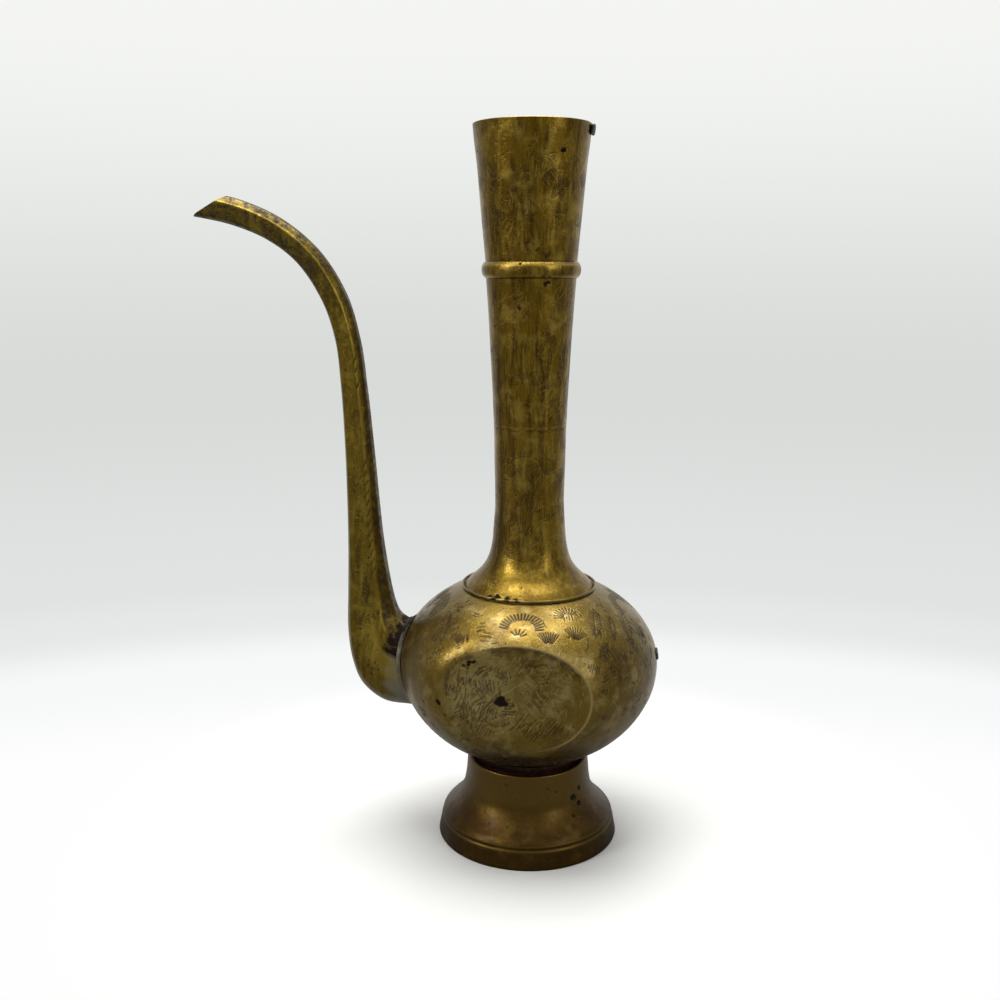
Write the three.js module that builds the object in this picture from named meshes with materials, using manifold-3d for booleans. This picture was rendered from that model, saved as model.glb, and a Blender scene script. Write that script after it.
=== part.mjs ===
// A brass ewer: a turned foot, a bowl flattened on two sides, a tall flared neck
// and a long swan-neck spout. Its handle is lost, and only the two scars of it are left.
// Millimetres, +Z up. The spout points to -X, the flattened sides face -Y and +Y.
// The pieces are placed around the turning axis, and the last lines centre the whole ewer.
import * as THREE from "three";
import { mergeVertices } from "three/addons/utils/BufferGeometryUtils.js";
import Module from "manifold-3d";

const wasm = await Module();
wasm.setup();

// Fineness and the clearance between pieces that hug each other
const turnFacets = 48;
const solderGap = 0.3;

// Foot
const footRadius = 43;
const footTopRadius = 28.9;
const footHeight = 39.6;
const footWall = 1.6;
const footEdge = 2.4;
const footLip = 3.1;
const footWebBore = 21;
const grooveDepth = 0.7;

// Dark ring between the foot and the bowl
const stemRadius = 26.5;
const stemBore = 22;

// Bowl
const bowlRadius = 60.8;
const bowlDepth = 48.2;
const bowlRise = 41.8;
const bowlWall = 1.4;
const bowlLift = 2.3;
const bowlMouthRadius = 27;
const facetSetback = 10;

// Wire ring on the shoulder
const wireRadius = 31.1;
const wireThickness = 1.4;

// Neck, bead and mouth
const neckWall = 1.6;
const neckSkirtRadius = 30.1;
const neckWaistRadius = 15.9;
const neckSeamRadius = 16.5;
const neckTopRadius = 20.2;
const lowerNeckHeight = 73.85;
const upperNeckHeight = 67;
const beadHeight = 7.5;
const beadRadius = 22.1;
const mouthBaseRadius = 20.4;
const rimRadius = 26;
const mouthHeight = 58;
const mouthWall = 1.3;

// Spout: each station is a slice across it. The outer edge is the side away from the bowl,
// the inner edge the side towards the neck. Places are measured out from the bowl's
// widest radius and up from its widest height, and depth is the slice's size along Y,
// all in steps of spoutUnit.
const spoutWall = 1.3;
const spoutUnit = 1.25;
const spoutStations = [
  { outer: [-15.04, -22], inner: [-16.64, 11.2], depth: 24 },
  { outer: [-4.64, -20.56], inner: [-8.64, 12], depth: 24.8 },
  { outer: [7.04, -18.96], inner: [-2.24, 13.2], depth: 24.8 },
  { outer: [15.68, -12], inner: [0.08, 14.4], depth: 23.2 },
  { outer: [19.36, -2.8], inner: [1.68, 16], depth: 20.4 },
  { outer: [20.96, 8.8], inner: [3.36, 20.4], depth: 16.8 },
  { outer: [20.8, 24], inner: [5.2, 29.6], depth: 14 },
  { outer: [20.32, 46.4], inner: [7.6, 47.2], depth: 12 },
  { outer: [20.56, 74.4], inner: [9.84, 74.8], depth: 10.4 },
  { outer: [21.68, 102.4], inner: [12.32, 102.4], depth: 9.44 },
  { outer: [23.36, 119.2], inner: [14.56, 120], depth: 8.96 },
  { outer: [28.08, 133.76], inner: [19.36, 136.4], depth: 8.8 },
  { outer: [36.96, 147.2], inner: [28.96, 151.6], depth: 8.8 },
  { outer: [48, 155.44], inner: [43.12, 163.2], depth: 9.04 },
  { outer: [61.44, 160.8], inner: [58.56, 169.92], depth: 9.6 },
  { outer: [77.76, 164.24], inner: [75.76, 173.6], depth: 10 },
];
const slicesPerStation = 2;
const beakTopOut = 79.2;
const beakTopUp = 213.4;
const beakCutAngle = 30;
const flangeWidth = 2.2;
const flangeThickness = 1.8;

// Scars of the lost handle, on the side away from the spout
const stubThickness = 1.4;
const stubWidth = 9;
const stubHeight = 4.5;
const stubBelowRim = 0.5;
const tabThickness = 0.8;
const tabWidth = 8;
const tabHeight = 4.5;
const tabAboveWaist = 3;

// Heights that follow from the sizes above
const webTop = footHeight - footLip;
const waistZ = webTop + bowlLift + bowlDepth;
const facetY = bowlRadius - facetSetback;
const neckBaseZ = bowlTopZ(neckSkirtRadius) + solderGap;
const neckSeamZ = neckBaseZ + lowerNeckHeight;
const beadBaseZ = neckSeamZ + upperNeckHeight;
const mouthBaseZ = beadBaseZ + beadHeight;
const rimZ = mouthBaseZ + mouthHeight;
const farReach = 4 * (rimZ + bowlRadius);

const agedBrass = new THREE.MeshStandardMaterial({ color: 0x8f7c45, roughness: 0.42, metalness: 1 });
const warmBrass = new THREE.MeshStandardMaterial({ color: 0x9a7b48, roughness: 0.45, metalness: 1 });
const darkSolder = new THREE.MeshStandardMaterial({ color: 0x4a2c28, roughness: 0.5, metalness: 0.8 });
const greySolder = new THREE.MeshStandardMaterial({ color: 0x7d7a70, roughness: 0.55, metalness: 0.9 });

// Height of the bowl's upper surface at a radius
function bowlTopZ(radius) {
  return waistZ + bowlRise * Math.sqrt(1 - (radius / bowlRadius) ** 2);
}

// Height of the bowl's underside at a radius
function bowlUnderZ(radius) {
  return waistZ - bowlDepth * Math.sqrt(1 - (radius / bowlRadius) ** 2);
}

// A closed outline of [radius, height] points, turned about the Z axis
function turned(outline) {
  const points = outline.map(([radius, z]) => new THREE.Vector2(radius, z));
  if (THREE.ShapeUtils.area(points) < 0) points.reverse();
  if (points[0].x > 0) points.push(points[0].clone());
  return new THREE.LatheGeometry(points, turnFacets).rotateX(Math.PI / 2);
}

// A smooth line through a few [radius, height] points, as a list of steps
function smooth(points, steps) {
  const curve = new THREE.SplineCurve(points.map(([radius, z]) => new THREE.Vector2(radius, z)));
  return curve.getPoints(steps).map((point) => [point.x, point.y]);
}

// The first, every second and the last of a line's points, for the side that no one sees
function everySecond(points) {
  return points.filter((_, i) => i % 2 === 0 || i === points.length - 1);
}

function solidOf(geometry) {
  geometry.deleteAttribute("normal");
  geometry.deleteAttribute("uv");
  const merged = mergeVertices(geometry);
  const corners = [];
  for (let i = 0; i < merged.index.count; i += 3) {
    const triangle = [0, 1, 2].map((k) => merged.index.getX(i + k));
    if (new Set(triangle).size === 3) corners.push(...triangle);
  }
  const vertProperties = new Float32Array(merged.attributes.position.array);
  const triVerts = new Uint32Array(corners);
  return new wasm.Manifold(new wasm.Mesh({ numProp: 3, vertProperties, triVerts }));
}

function piece(name, solid, material) {
  const { vertProperties, triVerts } = solid.getMesh();
  const geometry = new THREE.BufferGeometry();
  geometry.setAttribute("position", new THREE.BufferAttribute(vertProperties, 3));
  geometry.setIndex(new THREE.BufferAttribute(triVerts, 1));
  geometry.computeVertexNormals();
  const mesh = new THREE.Mesh(geometry, material);
  mesh.name = name;
  return mesh;
}

function block(low, high) {
  const size = high.map((value, axis) => value - low[axis]);
  const middle = high.map((value, axis) => (value + low[axis]) / 2);
  return solidOf(new THREE.BoxGeometry(...size).translate(...middle));
}

// Foot: a straight band, a cut groove, then an ogee up to a thin lip around a flat web
function footPiece() {
  const spread = footRadius - footTopRadius;
  const at = (share, rise) => [footTopRadius + share * spread, rise * footHeight];
  const bandTop = at(0.9, 0.22);
  const shoulder = at(0.855, 0.265);
  const groove = [shoulder[0] - grooveDepth / 2, (bandTop[1] + shoulder[1]) / 2];
  const ogeePoints = [shoulder, at(0.645, 0.354), at(0.29, 0.492), at(0.09, 0.67), at(0, 1)];
  const ogee = smooth(ogeePoints, 9);
  const outside = [at(1, 0), bandTop, groove, ...ogee];
  const webUnder = webTop - footWall;
  const inside = ogee
    .filter((point, i) => i % 2 === 0 && point[1] < webUnder - footWall)
    .map(([radius, z]) => [radius - footWall, z])
    .reverse();
  const lipRadius = footTopRadius - footWall;
  const bottom = [[footRadius - footEdge, footEdge], [footRadius - footEdge, 0]];
  const web = [[lipRadius, footHeight], [lipRadius, webTop], [footWebBore, webTop], [footWebBore, webUnder]];
  const underWeb = [lipRadius, webUnder];
  return piece("foot", solidOf(turned([...outside, ...web, underWeb, ...inside, ...bottom])), warmBrass);
}

// Dark ring on the foot's web, shaped to the underside of the bowl
function stemPiece() {
  const top = [stemRadius, stemBore].map((radius) => [radius, bowlUnderZ(radius) - solderGap]);
  return piece("stem_ring", solidOf(turned([[stemBore, webTop], [stemRadius, webTop], ...top])), darkSolder);
}

// The whole bowl as a solid, grown or shrunk by an amount, with its two flattened sides
function bowlSolid(grow) {
  const steps = 20;
  const outline = Array.from({ length: steps + 1 }, (_, i) => {
    const angle = (i / steps - 0.5) * Math.PI;
    const reach = Math.sin(angle) < 0 ? bowlDepth + grow : bowlRise + grow;
    const radius = i % steps === 0 ? 0 : (bowlRadius + grow) * Math.cos(angle);
    return [radius, waistZ + reach * Math.sin(angle)];
  });
  const side = facetY + grow;
  const slab = block([-farReach, -side, -farReach], [farReach, side, farReach]);
  return solidOf(turned(outline)).intersect(slab);
}

// Two bowl halves, brazed at the widest height, open at the neck and at the spout
function bowlPieces() {
  const mouth = [[0, waistZ], [bowlMouthRadius, waistZ], [bowlMouthRadius, rimZ], [0, rimZ]];
  const shell = bowlSolid(0)
    .subtract(bowlSolid(-bowlWall))
    .subtract(solidOf(turned(mouth)))
    .subtract(spoutSolid(-spoutWall));
  const below = block([-farReach, -farReach, -farReach], [farReach, farReach, waistZ]);
  const above = block([-farReach, -farReach, waistZ], [farReach, farReach, farReach]);
  return [
    piece("lower_bowl", shell.intersect(below), agedBrass),
    piece("upper_bowl", shell.intersect(above), agedBrass),
  ];
}

// Wire ring around the foot of the neck
function wirePiece() {
  const half = wireThickness / 2;
  const centreZ = bowlTopZ(wireRadius) + solderGap + half;
  const sides = 6;
  const outline = Array.from({ length: sides }, (_, i) => {
    const angle = ((i + 0.5) / sides) * 2 * Math.PI;
    return [wireRadius + half * Math.cos(angle), centreZ + half * Math.sin(angle)];
  });
  return piece("shoulder_wire", solidOf(turned(outline)), agedBrass);
}

// Lower neck: a flared skirt that sits on the bowl, drawn in to the waist of the neck
function lowerNeckPiece() {
  const flare = neckSkirtRadius - neckWaistRadius;
  const at = (share, rise) => [neckWaistRadius + share * flare, neckBaseZ + rise * lowerNeckHeight];
  const outerPoints = [at(1, 0), at(0.5, 0.097), at(0.211, 0.188), at(0.0845, 0.31), at(0, 0.54)];
  const outside = smooth([...outerPoints, [neckSeamRadius, neckSeamZ]], 13);
  const inside = everySecond(outside).slice(1).map(([radius, z]) => [radius - neckWall, z]);
  const seatRadius = neckSkirtRadius - neckWall;
  const seat = [seatRadius, bowlTopZ(seatRadius) + solderGap];
  return piece("lower_neck", solidOf(turned([...outside, ...inside.reverse(), seat])), agedBrass);
}

// Upper neck, from the flush seam up to the bead
function upperNeckPiece() {
  const flare = neckTopRadius - neckSeamRadius;
  const at = (share, rise) => [neckSeamRadius + share * flare, neckSeamZ + rise * upperNeckHeight];
  const outside = smooth([at(0, 0), at(0.26, 0.32), at(0.64, 0.72), at(1, 1)], 6);
  const inside = everySecond(outside).map(([radius, z]) => [radius - neckWall, z]).reverse();
  return piece("upper_neck", solidOf(turned([...outside, ...inside])), agedBrass);
}

// Half-round bead between the neck and the mouth
function beadPiece() {
  const bore = neckTopRadius - neckWall;
  const steps = 6;
  const round = Array.from({ length: steps + 1 }, (_, i) => {
    const angle = (i / steps - 0.5) * Math.PI;
    const radius = neckTopRadius + (beadRadius - neckTopRadius) * Math.cos(angle);
    return [radius, beadBaseZ + (beadHeight / 2) * (1 + Math.sin(angle))];
  });
  const bored = [[bore, mouthBaseZ], [bore, beadBaseZ]];
  return piece("neck_bead", solidOf(turned([...round, ...bored])), agedBrass);
}

// The outside line of the flared mouth, grown by an amount
function mouthLine(grow) {
  const flare = rimRadius - mouthBaseRadius;
  const at = (share, rise) => [mouthBaseRadius + share * flare, mouthBaseZ + rise * mouthHeight];
  return smooth([at(0, 0), at(0.2, 0.21), at(0.45, 0.475), at(0.7, 0.74), at(1, 1)], 6)
    .map(([radius, z]) => [radius + grow, z]);
}

function mouthPiece() {
  const outline = [...mouthLine(0), ...everySecond(mouthLine(-mouthWall)).reverse()];
  return piece("mouth_funnel", solidOf(turned(outline)), agedBrass);
}

function mouthSolid(grow) {
  return solidOf(turned([[0, mouthBaseZ], ...mouthLine(grow), [0, rimZ]]));
}

// Scars of the lost handle: a lump of braze under the rim and a thin patch on the bowl
function handleScars() {
  const stubTop = rimZ - stubBelowRim;
  const stubArea = block([0, -stubWidth / 2, stubTop - stubHeight], [farReach, stubWidth / 2, stubTop]);
  const stub = mouthSolid(solderGap + stubThickness).subtract(mouthSolid(solderGap)).intersect(stubArea);
  const tabBase = waistZ + tabAboveWaist;
  const tabArea = block([0, -tabWidth / 2, tabBase], [farReach, tabWidth / 2, tabBase + tabHeight]);
  const tab = bowlSolid(solderGap + tabThickness).subtract(bowlSolid(solderGap)).intersect(tabArea);
  return [
    piece("rim_handle_stub", stub, darkSolder),
    piece("bowl_handle_stub", tab, darkSolder),
  ];
}

// One slice of the spout in its own units: -1 and 1 across each way. It has broad flat
// sides, a wide bevel towards the neck and a narrow one away from it, and is rounder
// where the spout swells at its root.
function sliceOutline(roundness) {
  const corners = [[1, 0.5], [0.72, 1], [-0.45, 1], [-1, 0.42]];
  const mirrored = [...corners].reverse().map(([across, deep]) => [across, -deep]);
  const octagon = [...corners, ...mirrored];
  const withMiddles = octagon.flatMap(([across, deep], i) => {
    const [nextAcross, nextDeep] = octagon[(i + 1) % octagon.length];
    return [[across, deep], [(across + nextAcross) / 2, (deep + nextDeep) / 2]];
  });
  return withMiddles.map(([across, deep]) => {
    const length = Math.hypot(across, deep);
    const scale = 1 + roundness * (1 / length - 1);
    return [across * scale, deep * scale];
  });
}

// The spout as a solid, grown or shrunk by an amount on every side
function spoutSolid(grow) {
  const toPoint = ([out, up]) =>
    new THREE.Vector3(-(bowlRadius + out * spoutUnit), 0, waistZ + up * spoutUnit);
  const outerCurve = new THREE.CatmullRomCurve3(spoutStations.map(({ outer }) => toPoint(outer)));
  const innerCurve = new THREE.CatmullRomCurve3(spoutStations.map(({ inner }) => toPoint(inner)));
  const depths = spoutStations.map(({ depth }, i) => new THREE.Vector2(i, depth * spoutUnit));
  const depthCurve = new THREE.SplineCurve(depths);
  const slices = (spoutStations.length - 1) * slicesPerStation;
  const positions = [];
  for (let i = 0; i <= slices; i += 1) {
    const share = i / slices;
    const outer = outerCurve.getPoint(share);
    const inner = innerCurve.getPoint(share);
    const centre = outer.clone().add(inner).multiplyScalar(0.5);
    const across = outer.clone().sub(inner).multiplyScalar(0.5);
    across.setLength(across.length() + grow);
    const halfDepth = depthCurve.getPoint(share).y / 2 + grow;
    const roundness = Math.max(0, 1 - share * 3);
    for (const [u, v] of sliceOutline(roundness)) {
      const point = centre.clone().addScaledVector(across, u);
      positions.push(point.x, v * halfDepth, point.z);
    }
  }
  const sides = positions.length / 3 / (slices + 1);
  const triangles = [];
  for (let i = 0; i < slices; i += 1) {
    for (let k = 0; k < sides; k += 1) {
      const a = i * sides + k;
      const b = i * sides + ((k + 1) % sides);
      triangles.push(a, b + sides, b, a, a + sides, b + sides);
    }
  }
  const last = slices * sides;
  for (let k = 1; k < sides - 1; k += 1) {
    triangles.push(0, k, k + 1, last, last + k + 1, last + k);
  }
  const geometry = new THREE.BufferGeometry();
  geometry.setAttribute("position", new THREE.Float32BufferAttribute(positions, 3));
  geometry.setIndex(triangles);
  return solidOf(geometry);
}

// The slanted cut that opens the beak
function beakCut() {
  const size = rimZ;
  const box = new THREE.BoxGeometry(size, size, size).translate(0, 0, size / 2);
  box.rotateY(-THREE.MathUtils.degToRad(beakCutAngle));
  return solidOf(box.translate(-(bowlRadius + beakTopOut), 0, waistZ + beakTopUp));
}

// The spout is a tube made of two channels, soldered along its middle plane
function spoutPieces() {
  const tube = spoutSolid(0)
    .subtract(spoutSolid(-spoutWall))
    .subtract(bowlSolid(solderGap))
    .subtract(beakCut());
  const left = block([-farReach, -farReach, -farReach], [farReach, 0, farReach]);
  const right = block([-farReach, 0, -farReach], [farReach, farReach, farReach]);
  return [
    piece("spout_left_half", tube.intersect(left), agedBrass),
    piece("spout_right_half", tube.intersect(right), agedBrass),
  ];
}

// A saddle of solder around the spout's root, lying on the bowl
function flangePiece() {
  const flange = spoutSolid(solderGap + flangeWidth)
    .intersect(bowlSolid(solderGap + flangeThickness))
    .subtract(spoutSolid(solderGap))
    .subtract(bowlSolid(solderGap));
  return piece("spout_flange", flange, greySolder);
}

const group = new THREE.Group();
group.add(footPiece(), stemPiece(), ...bowlPieces(), wirePiece());
group.add(lowerNeckPiece(), upperNeckPiece(), beadPiece(), mouthPiece());
group.add(...handleScars(), ...spoutPieces(), flangePiece());

const outline = new THREE.Box3().setFromObject(group);
group.position.x = -(outline.min.x + outline.max.x) / 2;

export default group;
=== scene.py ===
import math

import bpy
import numpy as np
from mathutils import Matrix, Vector


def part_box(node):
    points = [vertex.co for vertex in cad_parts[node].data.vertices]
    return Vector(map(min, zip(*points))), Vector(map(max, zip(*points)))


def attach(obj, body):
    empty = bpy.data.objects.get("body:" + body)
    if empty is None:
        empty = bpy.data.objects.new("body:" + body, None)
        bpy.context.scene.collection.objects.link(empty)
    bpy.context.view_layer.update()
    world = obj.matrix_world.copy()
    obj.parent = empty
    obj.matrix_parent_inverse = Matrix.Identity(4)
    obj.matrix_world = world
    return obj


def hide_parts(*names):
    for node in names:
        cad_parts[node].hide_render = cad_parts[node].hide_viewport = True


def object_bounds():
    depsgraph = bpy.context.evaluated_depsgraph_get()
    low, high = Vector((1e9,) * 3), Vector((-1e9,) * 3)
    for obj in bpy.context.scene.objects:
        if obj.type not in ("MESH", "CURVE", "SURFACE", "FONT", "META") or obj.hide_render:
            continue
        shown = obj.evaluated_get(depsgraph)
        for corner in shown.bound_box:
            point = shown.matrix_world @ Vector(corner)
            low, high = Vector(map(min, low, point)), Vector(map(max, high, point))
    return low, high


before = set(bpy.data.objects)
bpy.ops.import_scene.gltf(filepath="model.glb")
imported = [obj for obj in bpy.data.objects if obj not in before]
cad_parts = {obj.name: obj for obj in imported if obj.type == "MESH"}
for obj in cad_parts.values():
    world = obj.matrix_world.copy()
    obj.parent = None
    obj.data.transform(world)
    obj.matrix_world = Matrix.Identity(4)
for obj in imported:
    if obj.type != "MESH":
        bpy.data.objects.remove(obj)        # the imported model, the frame that everything here sits on
cadBox = [list(corner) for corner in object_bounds()]
millimetre = 0.001
footLow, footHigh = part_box("foot")
axisX = (footLow.x + footHigh.x) / 2  # the turning axis, in metres
print("frame loaded")


def lowZ(node):
    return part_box(node)[0].z / millimetre


def highZ(node):
    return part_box(node)[1].z / millimetre


def halfWidth(node):
    low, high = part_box(node)
    return (high.x - low.x) / 2 / millimetre


# Smooth line through a few points: each stretch is a cubic whose slopes come from the points
# beside it, spaced by the square root of their distance, as a list of points at each share
def splineAt(points, share):
    points = np.asarray(points, float)
    padded = np.vstack([2 * points[:1] - points[1:2], points, 2 * points[-1:] - points[-2:-1]])
    stretches = len(points) - 1
    place = np.clip(np.asarray(share, float), 0, 1) * stretches
    start = np.minimum(place.astype(int), stretches - 1)
    t = (place - start)[..., None]
    p0, p1, p2, p3 = (padded[start + k] for k in range(4))
    d0, d1, d2 = (np.sqrt(np.linalg.norm(b - a, axis=-1))[..., None] for a, b in ((p0, p1), (p1, p2), (p2, p3)))
    slopeIn = ((p1 - p0) / d0 - (p2 - p0) / (d0 + d1) + (p2 - p1) / d1) * d1
    slopeOut = ((p2 - p1) / d1 - (p3 - p1) / (d1 + d2) + (p3 - p2) / d2) * d1
    cubic = (2 * p1 - 2 * p2 + slopeIn + slopeOut) * t ** 3
    square = (-3 * p1 + 3 * p2 - 2 * slopeIn - slopeOut) * t ** 2
    return p1 + slopeIn * t + square + cubic


# The same line as points at even steps along its length
def evenLine(points, step):
    fine = splineAt(points, np.linspace(0, 1, 60 * len(points)))
    run = np.concatenate([[0], np.cumsum(np.linalg.norm(np.diff(fine, axis=0), axis=1))])
    count = max(2, int(round(run[-1] / step)) + 1)
    at = np.linspace(0, run[-1], count)
    return np.stack([np.interp(at, run, fine[:, k]) for k in range(fine.shape[1])], 1)


def smoothStep(low, high, value):
    share = np.clip((value - low) / (high - low), 0, 1)
    return share * share * (3 - 2 * share)


# Engraving. A stroke is a row: start across, start along, end across, end along,
# half width, bend (sideways swell as a share of its length). All in mm around a motif's centre.
def stroke(fromPoint, toPoint, width=0.3, bend=0.0):
    return [*fromPoint, *toPoint, width, bend]


# Strokes that spread from a centre like the ribs of a fan
def fanStrokes(count, inner, outer, start, end, width=0.3):
    rows = []
    for angle in np.radians(np.linspace(start, end, count)):
        way = np.array([math.cos(angle), math.sin(angle)])
        rows.append(stroke(way * inner, way * outer, width))
    return rows


# A curved line as short strokes around a centre
def arcStrokes(acrossRadius, alongRadius, start, end, width=0.26):
    angles = np.radians(np.linspace(start, end, max(3, int(abs(end - start) / 18))))
    line = np.stack([np.cos(angles) * acrossRadius, np.sin(angles) * alongRadius], 1)
    return [stroke(a, b, width) for a, b in zip(line[:-1], line[1:])]


# A pointed leaf: a bent rib, one open side and hatching on both halves
def leafStrokes(length, breadth, hatches, width=0.27):
    rows = [stroke((0, -length / 2), (0.4, length / 2), width, 0.04)]
    rows.append(stroke((breadth * 0.3, -length * 0.1), (0.5, length / 2), width, -0.1))
    for share in np.linspace(0.15, 0.85, hatches):
        along = (share - 0.5) * length
        reach = breadth / 2 * 4 * share * (1 - share) * 0.85
        rows.append(stroke((0.35, along - 1.2), (reach, along + 1.3), width * 1.1, 0.05))
        rows.append(stroke((-0.35, along - 1.2), (-reach, along + 1.3), width * 1.1, -0.05))
    return rows


# A patch of parallel strokes
def hatchStrokes(count, length, pitch, slant, width=0.27):
    way = np.array([math.cos(math.radians(slant)), math.sin(math.radians(slant))])
    sideways = np.array([-way[1], way[0]])
    rows = []
    for k in range(count):
        middle = sideways * pitch * (k - (count - 1) / 2)
        reach = way * length / 2 * (0.75 + 0.25 * math.sin(k * 2.3))
        rows.append(stroke(middle - reach, middle + reach, width, 0.03 * math.sin(k * 1.7)))
    return rows


# Foliage scratched freely inside an ellipse: bent strokes that lie along a slowly turning way
def foliage(seed, count, halfAcross, halfAlong, length, lean, width=0.3, bend=0.16, sway=1.0):
    rng = np.random.default_rng(seed)
    rows = []
    for _ in range(count):
        reach, way = math.sqrt(rng.uniform(0, 1)), rng.uniform(0, 2 * math.pi)
        centre = np.array([halfAcross * reach * math.cos(way), halfAlong * reach * math.sin(way)])
        turning = 0.9 * math.sin(centre[0] * 0.35 + seed) + 0.5 * math.sin(centre[1] * 0.4)
        swing = math.radians(lean) + sway * turning
        half = np.array([math.cos(swing), math.sin(swing)]) * length * rng.uniform(0.3, 0.75)
        rows.append(stroke(centre - half, centre + half, width * rng.uniform(0.7, 1.25), rng.uniform(-bend, bend)))
    return rows


# Small tufts of foliage strewn over a band of angles and heights
def strewn(seed, count, angles, heights, strokes, size, lean):
    rng = np.random.default_rng(seed)
    motifs = []
    for k in range(count):
        place = (rng.uniform(*angles), rng.uniform(*heights))
        tuftSize = size * rng.uniform(0.6, 1.2)
        rows = foliage(seed * 100 + k, strokes, tuftSize, tuftSize * 0.8, tuftSize * 0.9, lean + rng.uniform(-40, 40), 0.24)
        motifs.append((place, 0, rows))
    return motifs


def turnStrokes(rows, degrees):
    rows = np.array(rows, float)
    c, s = math.cos(math.radians(degrees)), math.sin(math.radians(degrees))
    turn = np.array([[c, s], [-s, c]])
    rows[:, 0:2] = rows[:, 0:2] @ turn
    rows[:, 2:4] = rows[:, 2:4] @ turn
    return rows


# How deep each point lies in a motif's strokes, from 0 to 1: a round-bottomed groove that
# narrows towards both ends of each stroke
def strokeDepth(across, along, rows):
    a0, b0, a1, b1, width, bend = (rows[:, k:k + 1] for k in range(6))
    da, db = a1 - a0, b1 - b0
    length = np.hypot(da, db) + 1e-9
    t = ((across - a0) * da + (along - b0) * db) / length ** 2
    side = ((along - b0) * da - (across - a0) * db) / length - bend * length * 4 * t * (1 - t)
    taper = np.clip(np.minimum(t, 1 - t) * 5 + 0.45, 0.1, 1)
    groove = np.clip(1 - (side / (width * taper)) ** 2, 0, 1)
    return np.where((t > 0) & (t < 1), groove, 0).max(axis=0)


# Cuts motifs into a mask. toLocal gives each point's place around a motif's centre, in mm
def carve(mask, toLocal, motifs, swell=1.3):
    for place, degrees, rows in motifs:
        rows = turnStrokes(rows, degrees)
        rows[:, 4] *= swell
        reach = np.abs(rows[:, :4]).max() + 1
        across, along = toLocal(place)
        near = (np.abs(across) < reach) & (np.abs(along) < reach)
        if near.any():
            depth = strokeDepth(across[near][None], along[near][None], rows)
            mask[near] = np.maximum(mask[near], depth)
    return mask


# Round dark spots: a soft disc at each place, of a radius in mm
def spots(mask, toLocal, places):
    for place, radius, strength in places:
        across, along = toLocal(place)
        around = np.arctan2(along, across)
        wobble = 1 + 0.16 * np.sin(2 * around + place[0]) + 0.1 * np.sin(5 * around + place[1])
        distance = np.hypot(across, along) / (radius * wobble)
        mask = np.maximum(mask, strength * (1 - smoothStep(0.75, 1.15, distance)))
    return mask


# Hand-made unevenness: a few slow waves around and along, about 1 at most
def waviness(angle, along, seed):
    rng = np.random.default_rng(seed)
    total = np.zeros(np.broadcast(angle, along).shape)
    for _ in range(9):
        around = rng.integers(1, 7)
        length = rng.uniform(14, 60)
        phase = rng.uniform(0, 2 * math.pi, 2)
        total = total + np.sin(around * angle + phase[0]) * np.sin(2 * math.pi * along / length + phase[1])
    return total / 4.5


# Quads of a grid that closes on itself around, and also along where wrapAlong is set
def gridFaces(around, along, wrapAlong):
    i, j = np.meshgrid(np.arange(around), np.arange(along if wrapAlong else along - 1), indexing="ij")
    nextI, nextJ = (i + 1) % around, (j + 1) % along
    corners = [i * along + j, nextI * along + j, nextI * along + nextJ, i * along + nextJ]
    return np.stack([c.ravel() for c in corners], 1)


# Triangles from one row of a grid to a single point
def capFaces(around, along, row, point, flip):
    i = np.arange(around)
    a, b = i * along + row, (i + 1) % around * along + row
    order = [b, a, np.full(around, point)] if flip else [a, b, np.full(around, point)]
    return np.stack(order, 1)


def addPiece(name, points, faces, material, marks=None, sharpAngle=38):
    mesh = bpy.data.meshes.new(name)
    loops = np.concatenate([f.ravel() for f in faces])
    sizes = np.concatenate([np.full(len(f), f.shape[1]) for f in faces])
    mesh.vertices.add(len(points))
    mesh.vertices.foreach_set("co", (points * millimetre).astype(np.float32).ravel())
    mesh.loops.add(len(loops))
    mesh.loops.foreach_set("vertex_index", loops.astype(np.int32))
    mesh.polygons.add(len(sizes))
    mesh.polygons.foreach_set("loop_start", (np.cumsum(sizes) - sizes).astype(np.int32))
    mesh.update(calc_edges=True)
    for mark, values in (marks or {}).items():
        layer = mesh.attributes.new(mark, "FLOAT", "POINT")
        layer.data.foreach_set("value", values.astype(np.float32).ravel())
    mesh.polygons.foreach_set("use_smooth", np.ones(len(sizes), bool))
    mesh.set_sharp_from_angle(angle=math.radians(sharpAngle))
    mesh.materials.append(material)
    mesh.validate()
    piece = bpy.data.objects.new(name, mesh)
    bpy.context.scene.collection.objects.link(piece)
    return piece


def standFor(piece, node):
    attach(piece, "root")
    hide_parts(node)


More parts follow.
